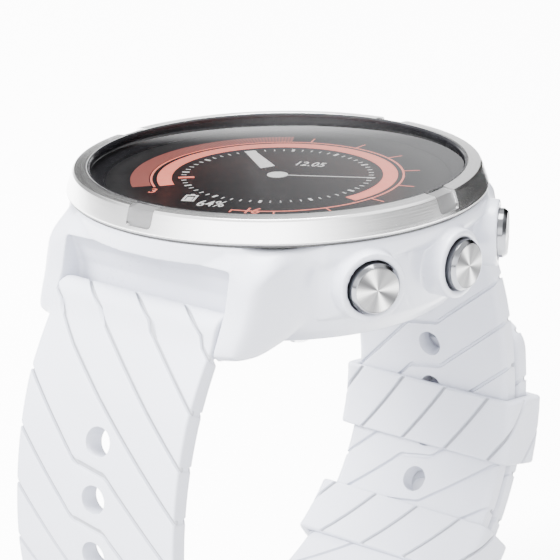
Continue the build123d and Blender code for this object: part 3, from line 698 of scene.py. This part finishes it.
src = NODES["case_middle"]
me = src.data.copy()
case = bpy.data.objects.new("case_shell", me)
scene.collection.objects.link(case)
me.materials.clear()
me.materials.append(WHITE)
for vtx in me.vertices:
    pass
md = case.modifiers.new("r", "REMESH")
md.mode = "VOXEL"
md.voxel_size = 0.20 * MM
md.use_smooth_shade = True
apply_mods(case)
for vtx in case.data.vertices:
    vtx.co = Vector(sculpt(tuple(vtx.co / MM))) * MM
vg_all = case.vertex_groups.new(name="fine")
vg_lug = case.vertex_groups.new(name="lug")
for vtx in case.data.vertices:
    x, y, z = vtx.co / MM
    r = math.hypot(x, y)
    vg_all.add([vtx.index], 1.0, "REPLACE")
    # the outer flanks of the lugs and the body beside them are blended most; the strap wells keep their edges
    k = smooth01((abs(x) - 12.2) / 0.45) * smooth01((abs(y) - 9.0) / 4.0) * smooth01((r - 21.5) / 1.2)
    if x > 0:
        k *= smooth01((abs(y) - 15.5) / 2.0)
    # the seats of the spring bar tips keep their shape
    k *= smooth01((math.hypot(abs(y) - 24.2, z - 4.3) - 0.9) / 0.6) if abs(x) < 14.0 else 1.0
    vg_lug.add([vtx.index], k, "REPLACE")
md = case.modifiers.new("s2", "SMOOTH")
md.factor = 0.5
md.iterations = 480
md.vertex_group = "lug"
md = case.modifiers.new("s", "SMOOTH")
md.factor = 0.5
md.iterations = 5
md = case.modifiers.new("d", "DECIMATE")
md.ratio = 0.45
apply_mods(case)
for vtx in case.data.vertices:
    x, y, z = vtx.co / MM
    if 11.7 < abs(x) < 13.95:
        dy, dz = abs(y) - 24.2, z - 4.3
        d = math.hypot(dy, dz)
        if 1e-6 < d < 0.70:
            sgn = 1 if y > 0 else -1
            vtx.co = Vector((x, sgn * (24.2 + dy / d * 0.70), 4.3 + dz / d * 0.70)) * MM
case.data.polygons.foreach_set("use_smooth", [True] * len(case.data.polygons))
place(case, "case", "case_middle")

# ---------------------------------------------------------------- pushers
for name, a in (("upper", 28.2), ("middle", 0.0), ("lower", -28.2)):
    ar = math.radians(a)
    mtx = Matrix((
        (-math.sin(ar), 0, math.cos(ar), 0), (math.cos(ar), 0, math.sin(ar), 0), (0, 1, 0, 8.7 * MM), (0, 0, 0, 1)))
    pts = [(0, 18.62), (0.98, 18.62), (0.98, 23.70), (2.93, 23.70), (2.93, 26.92), (2.62, 27.34), (2.55, 27.36), (2.50, 27.33), (2.44, 27.36), (0.05, 27.44), (0, 27.44)]
    prof = rounded(pts, [0, 0, 0, 0.1, 0.10, 0.06, 0, 0, 0.03, 0, 0], 4)
    lathe("pusher_head_" + name, prof, [RIM, SUN_PAINTED_RAYS], f"pusher_{name}", f"pusher_{name}", 96, mtx,
          mi=lambda p, q: 1 if min(p[1], q[1]) > 27.3 and max(p[0], q[0]) < 2.60 else 0, angle=25)


# ---------------------------------------------------------------- strap
J = -21.0


def piece_arc(c, r, a0, a1):
    a0, a1 = math.radians(a0), math.radians(a1)
    sg = 1 if a1 > a0 else -1

    def f(s, t):
        a = a0 + sg * s / r
        return (c[0] + (r - t) * math.cos(a), c[1] + (r - t) * math.sin(a))

    return abs(a1 - a0) * r, f


def piece_line(p, q):
    p, q = Vector(p), Vector(q)
    d = (q - p).normalized()
    nrm = Vector((-d.y, d.x))

    def f(s, t):
        v = p + d * s + nrm * t
        return (v.x, v.y)

    return (q - p).length, f


def path(pieces):
    tot, tab = 0.0, []
    for ln, f in pieces:
        tab.append((tot, ln, f))
        tot += ln

    def at(s, t):
        for st, ln, f in tab:
            if s <= st + ln + 1e-9:
                return f(max(s - st, -5), t)
        st, ln, f = tab[-1]
        return f(s - st, t)

    return tot, at


GOFF = [(-0.46, 0.0), (-0.35, 0.07), (-0.27, 0.72), (-0.15, 1.0), (0.15, 1.0), (0.27, 0.72), (0.35, 0.07), (0.46, 0.0)]


def rows_for(s0, s1, centres, reach, step=0.62):
    """Rows u with groove depth factor: fine at each groove centre, regular in between."""
    us = []
    cs = sorted(centres)
    for c in cs:
        us += [(c + d, k) for d, k in GOFF]
    out = sorted(us)
    full = []
    lo, hi = s0 - reach, s1 + reach
    pts = [(lo, 0.0)] + [u for u in out if lo < u[0] < hi] + [(hi, 0.0)]
    for a, b in zip(pts[:-1], pts[1:]):
        full.append(a)
        gap = b[0] - a[0]
        if gap > step * 1.3:
            k = int(math.ceil(gap / step))
            full += [(a[0] + gap * j / k, 0.0) for j in range(1, k)]
    full.append(pts[-1])
    return full


def strap_band(at, total, s0, s1, thick, width, centres, wave, sign, depth, edge_out=0.32, edge_in=(0.85, 0.5), name="strap", side_sign=1):
    """Closed band as a loft of rings. s = u + sign * g(x), so the rows follow the diagonal grooves."""
    W = 12.0
    xs = [0.0, 0.6, 1.2, 1.8, 2.4, 3.0, 3.6, 4.4, 5.2, 6.0, 6.8, 7.6, 8.4, 9.2, 10.0, 10.6, 10.95, 11.15, 11.4, 11.62, 11.68, 11.74, 11.82, 11.90, 11.96, 12.0]
    xs = [-x for x in reversed(xs[1:])] + xs

    def g(x, w):
        st = 0.86 * x - 0.20 * max(0.0, -7.0 - x)
        k1, k2 = smooth01((-x - 2.4) / 1.8), smooth01((x - 0.6) / 1.8)
        wv = 0.18 * x - 0.85 * (-x - 3.3) * k1 + 0.66 * (x - 1.5) * k2
        return st + (wv - st) * w

    rows = rows_for(s0, s1, centres, 13.0)
    verts, faces, rings = [], [], []
    for u, k in rows:
        ring = []
        w = wave(u)
        col_o, col_i = [], []
        for x in xs:
            s = min(max(u + sign * g(x, w), s0), s1)
            wf = width(s)
            xx = x * wf
            dx = (W - abs(x)) * 1.0
            T = thick(s)
            to = edge_out - math.sqrt(max(0.0, edge_out ** 2 - (edge_out - dx) ** 2)) if dx < edge_out else 0.0
            ew, eh = edge_in
            ti = eh * (1 - dx / ew) ** 1.5 if dx < ew else 0.0
            fade = smooth01((s - s0) / 0.6) * smooth01((s1 - s) / 0.6)
            dk = depth(s) * k * fade
            dout = max(dk, 0)
            y, z = at(s, to + dout * (1 if dx > 0.02 else 1))
            col_o.append((xx * (1 if abs(x) < W - 1e-6 else 1 - 0.012 * k), y, z))
            y, z = at(s, T - ti - dk * 0.9)
            col_i.append((xx, y, z))
        base = len(verts)
        verts += col_o + col_i[::-1]
        rings.append(base)
    n = len(xs) * 2
    mi = []
    for (a, ka), (b, kb) in zip(list(zip(rings, [k for _, k in rows]))[:-1], list(zip(rings, [k for _, k in rows]))[1:]):
        for i in range(n):
            j = (i + 1) % n
            faces.append((a + i, a + j, b + j, b + i))
            # groove floor faces take the darkened groove material: painted shade in the grooves
            mi.append(1 if min(ka, kb) > 0.5 and i < len(xs) - 1 else 0)
    faces.append(tuple(rings[0] + i for i in range(n))[::-1])
    faces.append(tuple(rings[-1] + i for i in range(n)))
    return verts, faces, mi + [0, 0]


def cyl(c, d, r, h, n=40, flare=0.0):
    """Hole cutter about the direction d in the YZ plane, with flared mouths."""
    dv = Vector((0, d[0], d[1]))
    e1 = Vector((1, 0, 0))
    e2 = dv.cross(e1)
    c = Vector((0, c[0], c[1]))
    v, f = [], []
    lev = [(-h, r + flare * 2.5), (-1.2 - flare, r + flare), (-1.2 + flare * 0.6, r + flare * 0.25), (-1.2 + 2 * flare, r), (1.2 - 2 * flare, r), (1.2 - flare * 0.6, r + flare * 0.25), (1.2 + flare, r + flare), (h, r + flare * 2.5)]
    for off, rr in lev:
        for k in range(n):
            q = 2 * math.pi * k / n
            v.append(tuple(c + dv * off + e1 * rr * math.cos(q) + e2 * rr * math.sin(q)))
    for i in range(len(lev) - 1):
        for k in range(n):
            k2 = (k + 1) % n
            f.append((i * n + k, i * n + k2, (i + 1) * n + k2, (i + 1) * n + k))
    f.append(tuple(range(n))[::-1])
    f.append(tuple((len(lev) - 1) * n + k for k in range(n)))
    return v, f


def box_mesh(lo, hi):
    (x0, y0, z0), (x1, y1, z1) = lo, hi
    v = [(x0, y0, z0), (x1, y0, z0), (x1, y1, z0), (x0, y1, z0), (x0, y0, z1), (x1, y0, z1), (x1, y1, z1), (x0, y1, z1)]
    return v, [(3, 2, 1, 0), (4, 5, 6, 7), (0, 1, 5, 4), (1, 2, 6, 5), (2, 3, 7, 6), (3, 0, 4, 7)]


# long half
b0 = 2.16
eye = piece_arc((-24.2, 4.3), 2.30, -85, 176)
p1 = piece_arc((9.85, J), 44.2, 146.0, 180)
p2 = piece_arc((-4.05, J), 30.3, 180, 270)
p3 = piece_line((-4.05, -51.3), (6.85, -51.3))
p4 = piece_arc((6.85, J), 30.3, -90, 0)
p5 = piece_arc((-9.85, J), 47.0, 0, 13.5)
L_EYE = eye[0]


def flip(piece):
    """Returns the piece unchanged; the eye, which turns the other way with its thickness measured towards the bar, is
    drawn by eye_f.
    """
    return piece


EY = eye[1]


def eye_f(s, t):
    # angle falls from 276 to 184 degrees the short way round the top: start under the bar, over the top, to the outside
    a = math.radians(-82.0) + s / 2.30
    return (-24.2 + (2.30 - t) * math.cos(a), 4.3 + (2.30 - t) * math.sin(a))


LEYE = 2.30 * math.radians(82.0 + 178.0)
total_l, at_l0 = path([(LEYE, eye_f), p1, p2, p3, p4, p5])


def tent(s, a, b, c, h):
    return h * max(0.0, min((s - a) / (b - a), (c - s) / (c - b)))


def at_l(s, t):
    return at_l0(s, t - tent(s, LEYE + 1.0, LEYE + 8.6, LEYE + 21.0, 0.34) * (1 - t / 2.4))



S1 = LEYE + p1[0]
holes_l = []
for k in range(9):
    sm = -12.4 + 6.5 * k
    if sm < 0:
        a = -sm / 43.0
        holes_l.append((((9.85 - 43.0 * math.cos(a)), J + 43.0 * math.sin(a)), (-math.cos(a), math.sin(a)), S1 - 44.2 * a))
    else:
        a = sm / 29.1
        holes_l.append(((-4.05 - 29.1 * math.cos(a), J - 29.1 * math.sin(a)), (-math.cos(a), -math.sin(a)), S1 + 30.3 * a))
S3 = S1 + p2[0]
y10 = -4.05 + (-12.4 + 65.0 - 45.71)
for yy in (y10 - 6.5, y10):
    holes_l.append(((yy, J - 29.1), (0, -1), S3 + yy + 4.05))
S4 = S3 + 10.9
S5 = S4 + p4[0]
tail0 = 6.5 - (6.85 - y10)
for k in range(7):
    sm = tail0 + 6.5 * k - 45.71
    if sm < 0:
        a = sm / 29.1
        holes_l.append(((6.85 + 29.1 * math.cos(a), J + 29.1 * math.sin(a)), (math.cos(a), math.sin(a)), S5 + 30.3 * a))
    else:
        a = sm / 45.8
        holes_l.append(((-9.85 + 45.8 * math.cos(a), J + 45.8 * math.sin(a)), (math.cos(a), math.sin(a)), S5 + 47.0 * a))
hs = [h[2] for h in holes_l]
centres = [(a + b) / 2 for a, b in zip(hs[:-1], hs[1:])]
centres = [LEYE + c for c in (-15.2, -9.0, -2.8, 3.5, 9.5)] + centres + [hs[-1] + 3.4, hs[-1] + 10.1, hs[-1] + 16.8]
W0 = hs[0] - 2.6


def thick_l(s):
    if s < LEYE - 1.6:
        return 2.30 - 0.93
    return (2.30 - 0.93) + (2.40 - 1.37) * smooth01((s - LEYE + 0.2) / 2.2)


def width_l(s):
    e = total_l - s
    if e > 6.0:
        return 1.0
    q = 1 - e / 6.0
    return max(0.30, math.sqrt(max(0.0, 1 - 0.92 * q ** 2.6)))


v, f, mi = strap_band(at_l, total_l, 0.0, total_l - 0.02, thick_l, width_l, centres, lambda u: smooth01((u - W0) / 3.0), 1, lambda s: 0.46 * smooth01((s - LEYE + 5.5) / 1.5), name="strap_long")
strap_l = obj_from("strap_long_band", v, f, [STRAP, GROOVE_SHADE], "strap_loop", (), mi=mi, merge=0.004, angle=38)
cs = [raw("c", *cyl(c, d, 2.60 if c[1] < -48 and c[0] > -2 else 1.62, 2.6, flare=0.16)) for c, d, s in holes_l]
cs.append(raw("c", *box_mesh((6.8, -26.0, 0.3), (10.4, -23.3, 4.5))))
boolean(strap_l, cs)
recolour(strap_l, [STRAP, GROOVE_SHADE])
shade(strap_l, 38)


# short half (mirrored in Y: its eye is at +24.2)
def eye_s(s, t):
    a = math.radians(180 + 82.0) - s / 2.30
    return (24.2 + (2.30 - t) * math.cos(a), 4.3 + (2.30 - t) * math.sin(a))


q1 = piece_arc((-9.85, J), 44.2, 34.0, 0)
q2 = piece_arc((6.85, J), 27.5, 0, -87)


def eye_b(s, t):
    a = math.radians(-87) - s / 1.90
    return (7.80 + (1.90 - t) * math.cos(a), -46.60 + (1.90 - t) * math.sin(a))


LB = 1.90 * math.radians(250)
total_s, at_s = path([(LEYE, eye_s), q1, q2, (LB, eye_b)])
SS1 = LEYE + q1[0]
SS2 = SS1 + q2[0]
holes_s = []
for k in range(5):
    sm = -11.9 + 6.65 * k
    if sm < 0:
        a = -sm / 43.0
        holes_s.append(((-9.85 + 43.0 * math.cos(a), J + 43.0 * math.sin(a)), (math.cos(a), math.sin(a)), SS1 - 44.2 * a))
    else:
        a = -sm / 26.3
        holes_s.append(((6.85 + 26.3 * math.cos(a), J + 26.3 * math.sin(a)), (math.cos(a), math.sin(a)), SS1 - 27.5 * a))
hs2 = [h[2] for h in holes_s]
cen2 = [(a + b) / 2 for a, b in zip(hs2[:-1], hs2[1:])]
cen2 = [hs2[0] - 3.4 - 6.65 * k for k in range(4)] + cen2 + [hs2[-1] + 3.5 + 6.8 * k for k in range(5)]


def thick_s(s):
    if s < LEYE - 1.6:
        return 1.37
    if s < SS2 - 3:
        return 1.37 + 1.03 * smooth01((s - LEYE + 0.2) / 2.2)
    return 2.40 - (2.40 - 1.08) * smooth01((s - SS2 + 1.5) / 2.4)


v, f, mi = strap_band(at_s, total_s, 0.0, total_s - 0.02, thick_s, lambda s: 1.0 if s < SS2 else 0.99, cen2, lambda u: 1.0, -1,
                  lambda s: 0.50 * smooth01((s - LEYE + 4.5) / 2.0) * (1 - smooth01((s - SS2 + 6) / 3)), name="strap_short")
strap_s = obj_from("strap_short_band", v, f, [STRAP, GROOVE_SHADE], "strap_loop", "strap_short", mi=mi, merge=0.004, angle=38)
cs = [raw("c", *cyl(c, d, 1.62, 2.6, flare=0.16)) for c, d, s in holes_s]
cs.append(raw("c", *box_mesh((6.8, 23.3, 0.3), (10.4, 26.0, 4.5))))
cs.append(raw("c", *box_mesh((-1.5, 5.2, -49.6), (1.5, 10.0, -43.6))))
boolean(strap_s, cs)
recolour(strap_s, [STRAP, GROOVE_SHADE])
shade(strap_s, 38)


# ---------------------------------------------------------------- keepers
def keeper(name, body, node, a0, a1, b0, b1, r_in, r_out):
    R0, R1, HX = 24.02, 31.88, 13.62
    rc = 1.15
    cx, ry = HX - rc, (R1 - R0) / 2 - rc
    rm = (R0 + R1) / 2
    per = 4 * cx + 4 * ry + 2 * math.pi * rc

    def edge(p):
        """x, r, outward normal at perimeter distance p, from the middle of the inner face towards +X."""
        p %= per
        segs = [(cx, "i+"), (math.pi / 2 * rc, "c0"), (2 * ry, "x+"), (math.pi / 2 * rc, "c1"), (2 * cx, "o"), (math.pi / 2 * rc, "c2"), (2 * ry, "x-"), (math.pi / 2 * rc, "c3"), (cx, "i-")]
        for ln, kind in segs:
            if p <= ln:
                break
            p -= ln
        t = p
        if kind == "i+":
            return t, R0, 0, -1
        if kind == "c0":
            q = -math.pi / 2 + t / rc
            return cx + rc * math.cos(q), rm - ry + rc * math.sin(q), math.cos(q), math.sin(q)
        if kind == "x+":
            return HX, rm - ry + t, 1, 0
        if kind == "c1":
            q = t / rc
            return cx + rc * math.cos(q), rm + ry + rc * math.sin(q), math.cos(q), math.sin(q)
        if kind == "o":
            return cx - t, R1, 0, 1
        if kind == "c2":
            q = math.pi / 2 + t / rc
            return -cx + rc * math.cos(q), rm + ry + rc * math.sin(q), math.cos(q), math.sin(q)
        if kind == "x-":
            return -HX, rm + ry - t, -1, 0
        if kind == "c3":
            q = math.pi + t / rc
            return -cx + rc * math.cos(q), rm - ry + rc * math.sin(q), math.cos(q), math.sin(q)
        return -cx + t, R0, 0, -1

    H = abs(a1 - a0) * math.pi / 180 * 27.5
    count = round(per / 6.55)
    pitch = per / count
    vs = [0.0, 0.06, 0.16, 0.3, 0.5] + [0.5 + (H - 1.0) * k / 14 for k in range(1, 14)] + [H - 0.5, H - 0.3, H - 0.16, H - 0.06, H]
    qs = []
    for c in range(count):
        qs += [(c * pitch + d * 0.95, k) for d, k in GOFF]
        lo, hi = c * pitch + 0.46 * 0.95, (c + 1) * pitch - 0.46 * 0.95
        qs += [(lo + (hi - lo) * j / 11, 0.0) for j in range(1, 11)]
    re = 0.42
    verts, faces, rings = [], [], []

    def pos(x, r, v):
        fr = (r - R0) / (R1 - R0)
        s, e = a0 + (b0 - a0) * fr, a1 + (b1 - a1) * fr
        a = math.radians(s + (e - s) * v / H)
        return (x, 6.85 + r * math.cos(a), J + r * math.sin(a))

    for q, k in qs:
        ring = []
        for v in vs:
            p = q + 0.62 * (H / 2 - v) * 1.0
            x, r, nx, nr = edge(p)
            dv = min(v, H - v)
            rd = re - math.sqrt(max(0.0, re * re - (re - dv) ** 2)) if dv < re else 0.0
            d = rd + 0.42 * k * smooth01(dv / 0.3 + 0.25)
            ring.append(pos(x - nx * d, r - nr * d, v))
        for v in reversed(vs):
            p = q + 0.62 * (H / 2 - v) * 1.0
            x, r, nx, nr = edge(p)
            dv = min(v, H - v)
            rd = 0.25 - math.sqrt(max(0.0, 0.0625 - (0.25 - dv) ** 2)) if dv < 0.25 else 0.0
            xi = max(-12.17, min(12.17, x - nx * 1.46))
            ri = max(r_in, min(r_out, r - nr * (1.0 if nr < 0 else 1.4)))
            ring.append(pos(xi + nx * rd, ri + nr * rd, v))
        rings.append(len(verts))
        verts += ring
    n = len(vs) * 2
    m = len(rings)
    mi = []
    for i in range(m):
        a, b = rings[i], rings[(i + 1) % m]
        for j in range(n):
            j2 = (j + 1) % n
            faces.append((a + j, a + j2, b + j2, b + j))
            # groove floor faces take the darkened groove material: painted shade in the grooves
            mi.append(1 if min(qs[i][1], qs[(i + 1) % m][1]) > 0.5 and 1 < j < len(vs) - 3 else 0)
    return obj_from(name, verts, faces, [STRAP, GROOVE_SHADE], body, node, mi=mi, merge=0.003, angle=40)


keeper("keeper_free_loop", "keeper_free", "keeper_free", -0.6, -20.8, -2.6, -19.4, 25.02, 30.46)
keeper("keeper_fixed_loop", "strap_loop", "keeper_fixed", -40.0, -58.0, -41.0, -57.0, 25.06, 30.46)


# ---------------------------------------------------------------- buckle
def softened(name, node, mat, body, width=0.3, segs=3, angle=32):
    me = NODES[node].data.copy()
    me.materials.clear()
    me.materials.append(mat)
    o = bpy.data.objects.new(name, me)
    scene.collection.objects.link(o)
    bm = bmesh.new()
    bm.from_mesh(me)
    bmesh.ops.remove_doubles(bm, verts=bm.verts, dist=1e-6)
    bmesh.ops.dissolve_limit(bm, angle_limit=math.radians(1.2), verts=bm.verts, edges=bm.edges)
    bm.to_mesh(me)
    bm.free()
    md = o.modifiers.new("bv", "BEVEL")
    md.width = width * MM
    md.segments = segs
    md.limit_method = "ANGLE"
    md.angle_limit = math.radians(35)
    md.use_clamp_overlap = True
    md.harden_normals = False
    apply_mods(o)
    shade(o, angle)
    return place(o, body, node)


softened("buckle_frame_body", "buckle_frame", BUCKLE, "buckle_frame", 0.45, 4)
softened("buckle_tongue_body", "buckle_tongue", BUCKLE, "buckle_tongue", 0.22, 3)
softened("buckle_bar_body", "buckle_bar", STEEL, "strap_loop", 0.12, 3)

# ---------------------------------------------------------------- back of the case
lathe("rear_window", rounded([(0, 0.01), (7.58, 0.01), (8.96, 0.46), (8.96, 1.98), (0, 1.98)], [0, 0.5, 0.15, 0, 0], 5), SENSOR, "case", "sensor_window", 128)
for node, mat in (
    ("rear_cover", COVER), ("rear_seal", SEAL), ("rear_screws", STEEL), ("charging_contacts", GOLD), ("sensor_board", BOARD),
    ("main_board", BOARD), ("switch_board", BOARD), ("display_holder", HOLDER), ("antenna_ring", COPPER), ("inner_frame", GREY),
    ("battery", FOIL), ("vibration_motor", STEEL), ("pressure_sensor", STEEL), ("pusher_tubes", STEEL),
    ("clip_upper", STEEL), ("clip_middle", STEEL), ("clip_lower", STEEL), ("oring_upper", SEAL), ("oring_middle", SEAL), ("oring_lower", SEAL),
    ("spring_upper", STEEL), ("spring_middle", STEEL), ("spring_lower", STEEL), ("spring_bar_12", STEEL), ("spring_bar_6", STEEL),
    ("release_12", STEEL), ("release_6", STEEL), ("release_spring_12", STEEL), ("release_spring_6", STEEL),
):
    o = NODES[node]
    o.data.materials.clear()
    o.data.materials.append(mat)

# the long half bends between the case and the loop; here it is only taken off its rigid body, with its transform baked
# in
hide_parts("strap_long")
w_mtx = strap_l.matrix_world.copy()
strap_l.parent = None
strap_l.matrix_world = w_mtx
if "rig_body" in strap_l:
    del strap_l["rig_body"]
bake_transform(strap_l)

# the release springs shorten as their knobs slide; here each is copied as its own coil mesh on the case body
for n12 in ("12", "6"):
    src = NODES["release_spring_" + n12]
    coil = bpy.data.objects.new("release_coil_" + n12, src.data.copy())
    scene.collection.objects.link(coil)
    coil.matrix_world = src.matrix_world.copy()
    coil.data.materials.clear()
    coil.data.materials.append(STEEL)
    place(coil, "case", "release_spring_" + n12)
    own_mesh(coil)

# ---------------------------------------------------------------- floor, light, camera
fm = Mat("floor")
n1 = fm.noise(fm.coords(), 6, 2)
fm.l(fm.ramp(n1, [(0.3, (0.90, 0.90, 0.905)), (0.7, (0.93, 0.93, 0.93))]), fm.b.inputs["Base Color"])
fm.set(Roughness=0.8, Specular_IOR_Level=0.1, Emission_Color=(1, 1, 1, 1), Emission_Strength=5.5)
me = bpy.data.meshes.new("floor")
zf = CAD_BOX[0][2]
me.from_pydata([(-6, -6, zf), (6, -6, zf), (6, 6, zf), (-6, 6, zf)], [], [(0, 1, 2, 3)])
me.materials.append(fm.m)
floor = bpy.data.objects.new("floor", me)
scene.collection.objects.link(floor)
floor.visible_diffuse = False


def lamp(name, loc, target, size, energy, color=(1, 1, 1)):
    l = bpy.data.lights.new(name, "AREA")
    l.shape = "RECTANGLE"
    l.size, l.size_y = size
    l.energy = energy
    l.color = color
    o = bpy.data.objects.new(name, l)
    scene.collection.objects.link(o)
    o.location = loc
    o.rotation_euler = (Vector(target) - Vector(loc)).to_track_quat("-Z", "Y").to_euler()
    return o


lamp("key", (-0.55, -0.85, 0.90), (0, 0, -0.01), (0.55, 0.55), 78)
# the key shapes the plastics; the steel is lit by the studio surround alone
bpy.data.objects["key"].visible_glossy = False
lamp("top", (-0.1, 0.1, 1.20), (0, 0, 0), (0.6, 0.6), 46)
# a dark studio card to the right of the watch, out of the picture, gives the steel its dark side
cv, cf = [], []
for i in range(13):
    ang = math.radians(46 + i * 61 / 12)
    cv += [(0.24 * math.cos(ang), 0.24 * math.sin(ang), zf + 0.001), (0.26 * math.cos(ang), 0.26 * math.sin(ang), 0.13)]
for i in range(12):
    cf.append((2 * i, 2 * i + 2, 2 * i + 3, 2 * i + 1))
me = bpy.data.meshes.new("card")
me.from_pydata(cv, [], cf)
cm = Mat("card_black")
cm.l(cm.ramp(cm.noise(cm.coords(), 40, 2), [(0.3, (0.004, 0.004, 0.004)), (0.7, (0.006, 0.006, 0.006))]), cm.b.inputs["Base Color"])
cm.set(Roughness=0.9, Specular_IOR_Level=0.0)
me.materials.append(cm.m)
card = bpy.data.objects.new("card", me)
scene.collection.objects.link(card)
card.visible_camera = False
card.visible_diffuse = False
card.visible_shadow = False
w = bpy.data.worlds.new("w")
scene.world = w
w.use_nodes = True
wt = w.node_tree
tc = wt.nodes.new("ShaderNodeTexCoord")
sx = wt.nodes.new("ShaderNodeSeparateXYZ")
wt.links.new(tc.outputs["Generated"], sx.inputs[0])
at2 = wt.nodes.new("ShaderNodeMath")
at2.operation = "ARCTAN2"
wt.links.new(sx.outputs[1], at2.inputs[0])
wt.links.new(sx.outputs[0], at2.inputs[1])
mr = wt.nodes.new("ShaderNodeMapRange")
mr.inputs[1].default_value, mr.inputs[2].default_value = -math.pi, math.pi
wt.links.new(at2.outputs[0], mr.inputs[0])
cr = wt.nodes.new("ShaderNodeValToRGB")
stops = [(-180, 0.8), (-160, 1.0), (-135, 2.4), (-112, 5.5), (-89, 10.0), (-49, 10.0), (-32, 6.0), (-9, 1.9), (11, 0.80), (31, 0.50), (56, 0.14), (82, 0.03), (104, 0.25), (114, 1.2), (121, 1.45), (127, 0.85), (133, 0.02), (146, 0.03), (158, 0.6), (180, 0.8)]
while len(cr.color_ramp.elements) < len(stops):
    cr.color_ramp.elements.new(0.5)
for e, (dg, val) in zip(cr.color_ramp.elements, stops):
    e.position = (dg + 180) / 360
    e.color = (val, val, val * 1.01, 1)
wt.links.new(mr.outputs[0], cr.inputs[0])
mx = wt.nodes.new("ShaderNodeMix")
mx.data_type = "RGBA"
hi = wt.nodes.new("ShaderNodeMapRange")
hi.interpolation_type = "SMOOTHSTEP"
hi.inputs[1].default_value, hi.inputs[2].default_value = 0.50, 0.72
wt.links.new(sx.outputs[2], hi.inputs[0])
wt.links.new(hi.outputs[0], mx.inputs[0])
wt.links.new(cr.outputs[0], mx.inputs[6])
mx.inputs[7].default_value = (3.4, 3.4, 3.4, 1)
lowb = wt.nodes.new("ShaderNodeMapRange")
lowb.interpolation_type = "SMOOTHSTEP"
lowb.inputs[1].default_value, lowb.inputs[2].default_value = 0.17, 0.08
wt.links.new(sx.outputs[2], lowb.inputs[0])
mx2 = wt.nodes.new("ShaderNodeMix")
mx2.data_type = "RGBA"
wt.links.new(lowb.outputs[0], mx2.inputs[0])
wt.links.new(mx.outputs[2], mx2.inputs[6])
mx2.inputs[7].default_value = (2.5, 2.5, 2.52, 1)
wt.links.new(mx2.outputs[2], wt.nodes["Background"].inputs[0])
wt.nodes["Background"].inputs[1].default_value = 1.0

cam = bpy.data.cameras.new("cam")
cam.lens = 141.85
cam.sensor_width = 36.0
cam.clip_start = 0.01
cam.clip_end = 20.0
camo = bpy.data.objects.new("cam", cam)
scene.collection.objects.link(camo)
camo.matrix_world = Matrix((
    (0.78223142, -0.18453206, 0.59503103, 0.158292), (0.62271777, 0.25972721, -0.73808153, -0.196252),
    (-0.01834604, 0.94788696, 0.31807818, 0.086287), (0, 0, 0, 1)))
scene.camera = camo
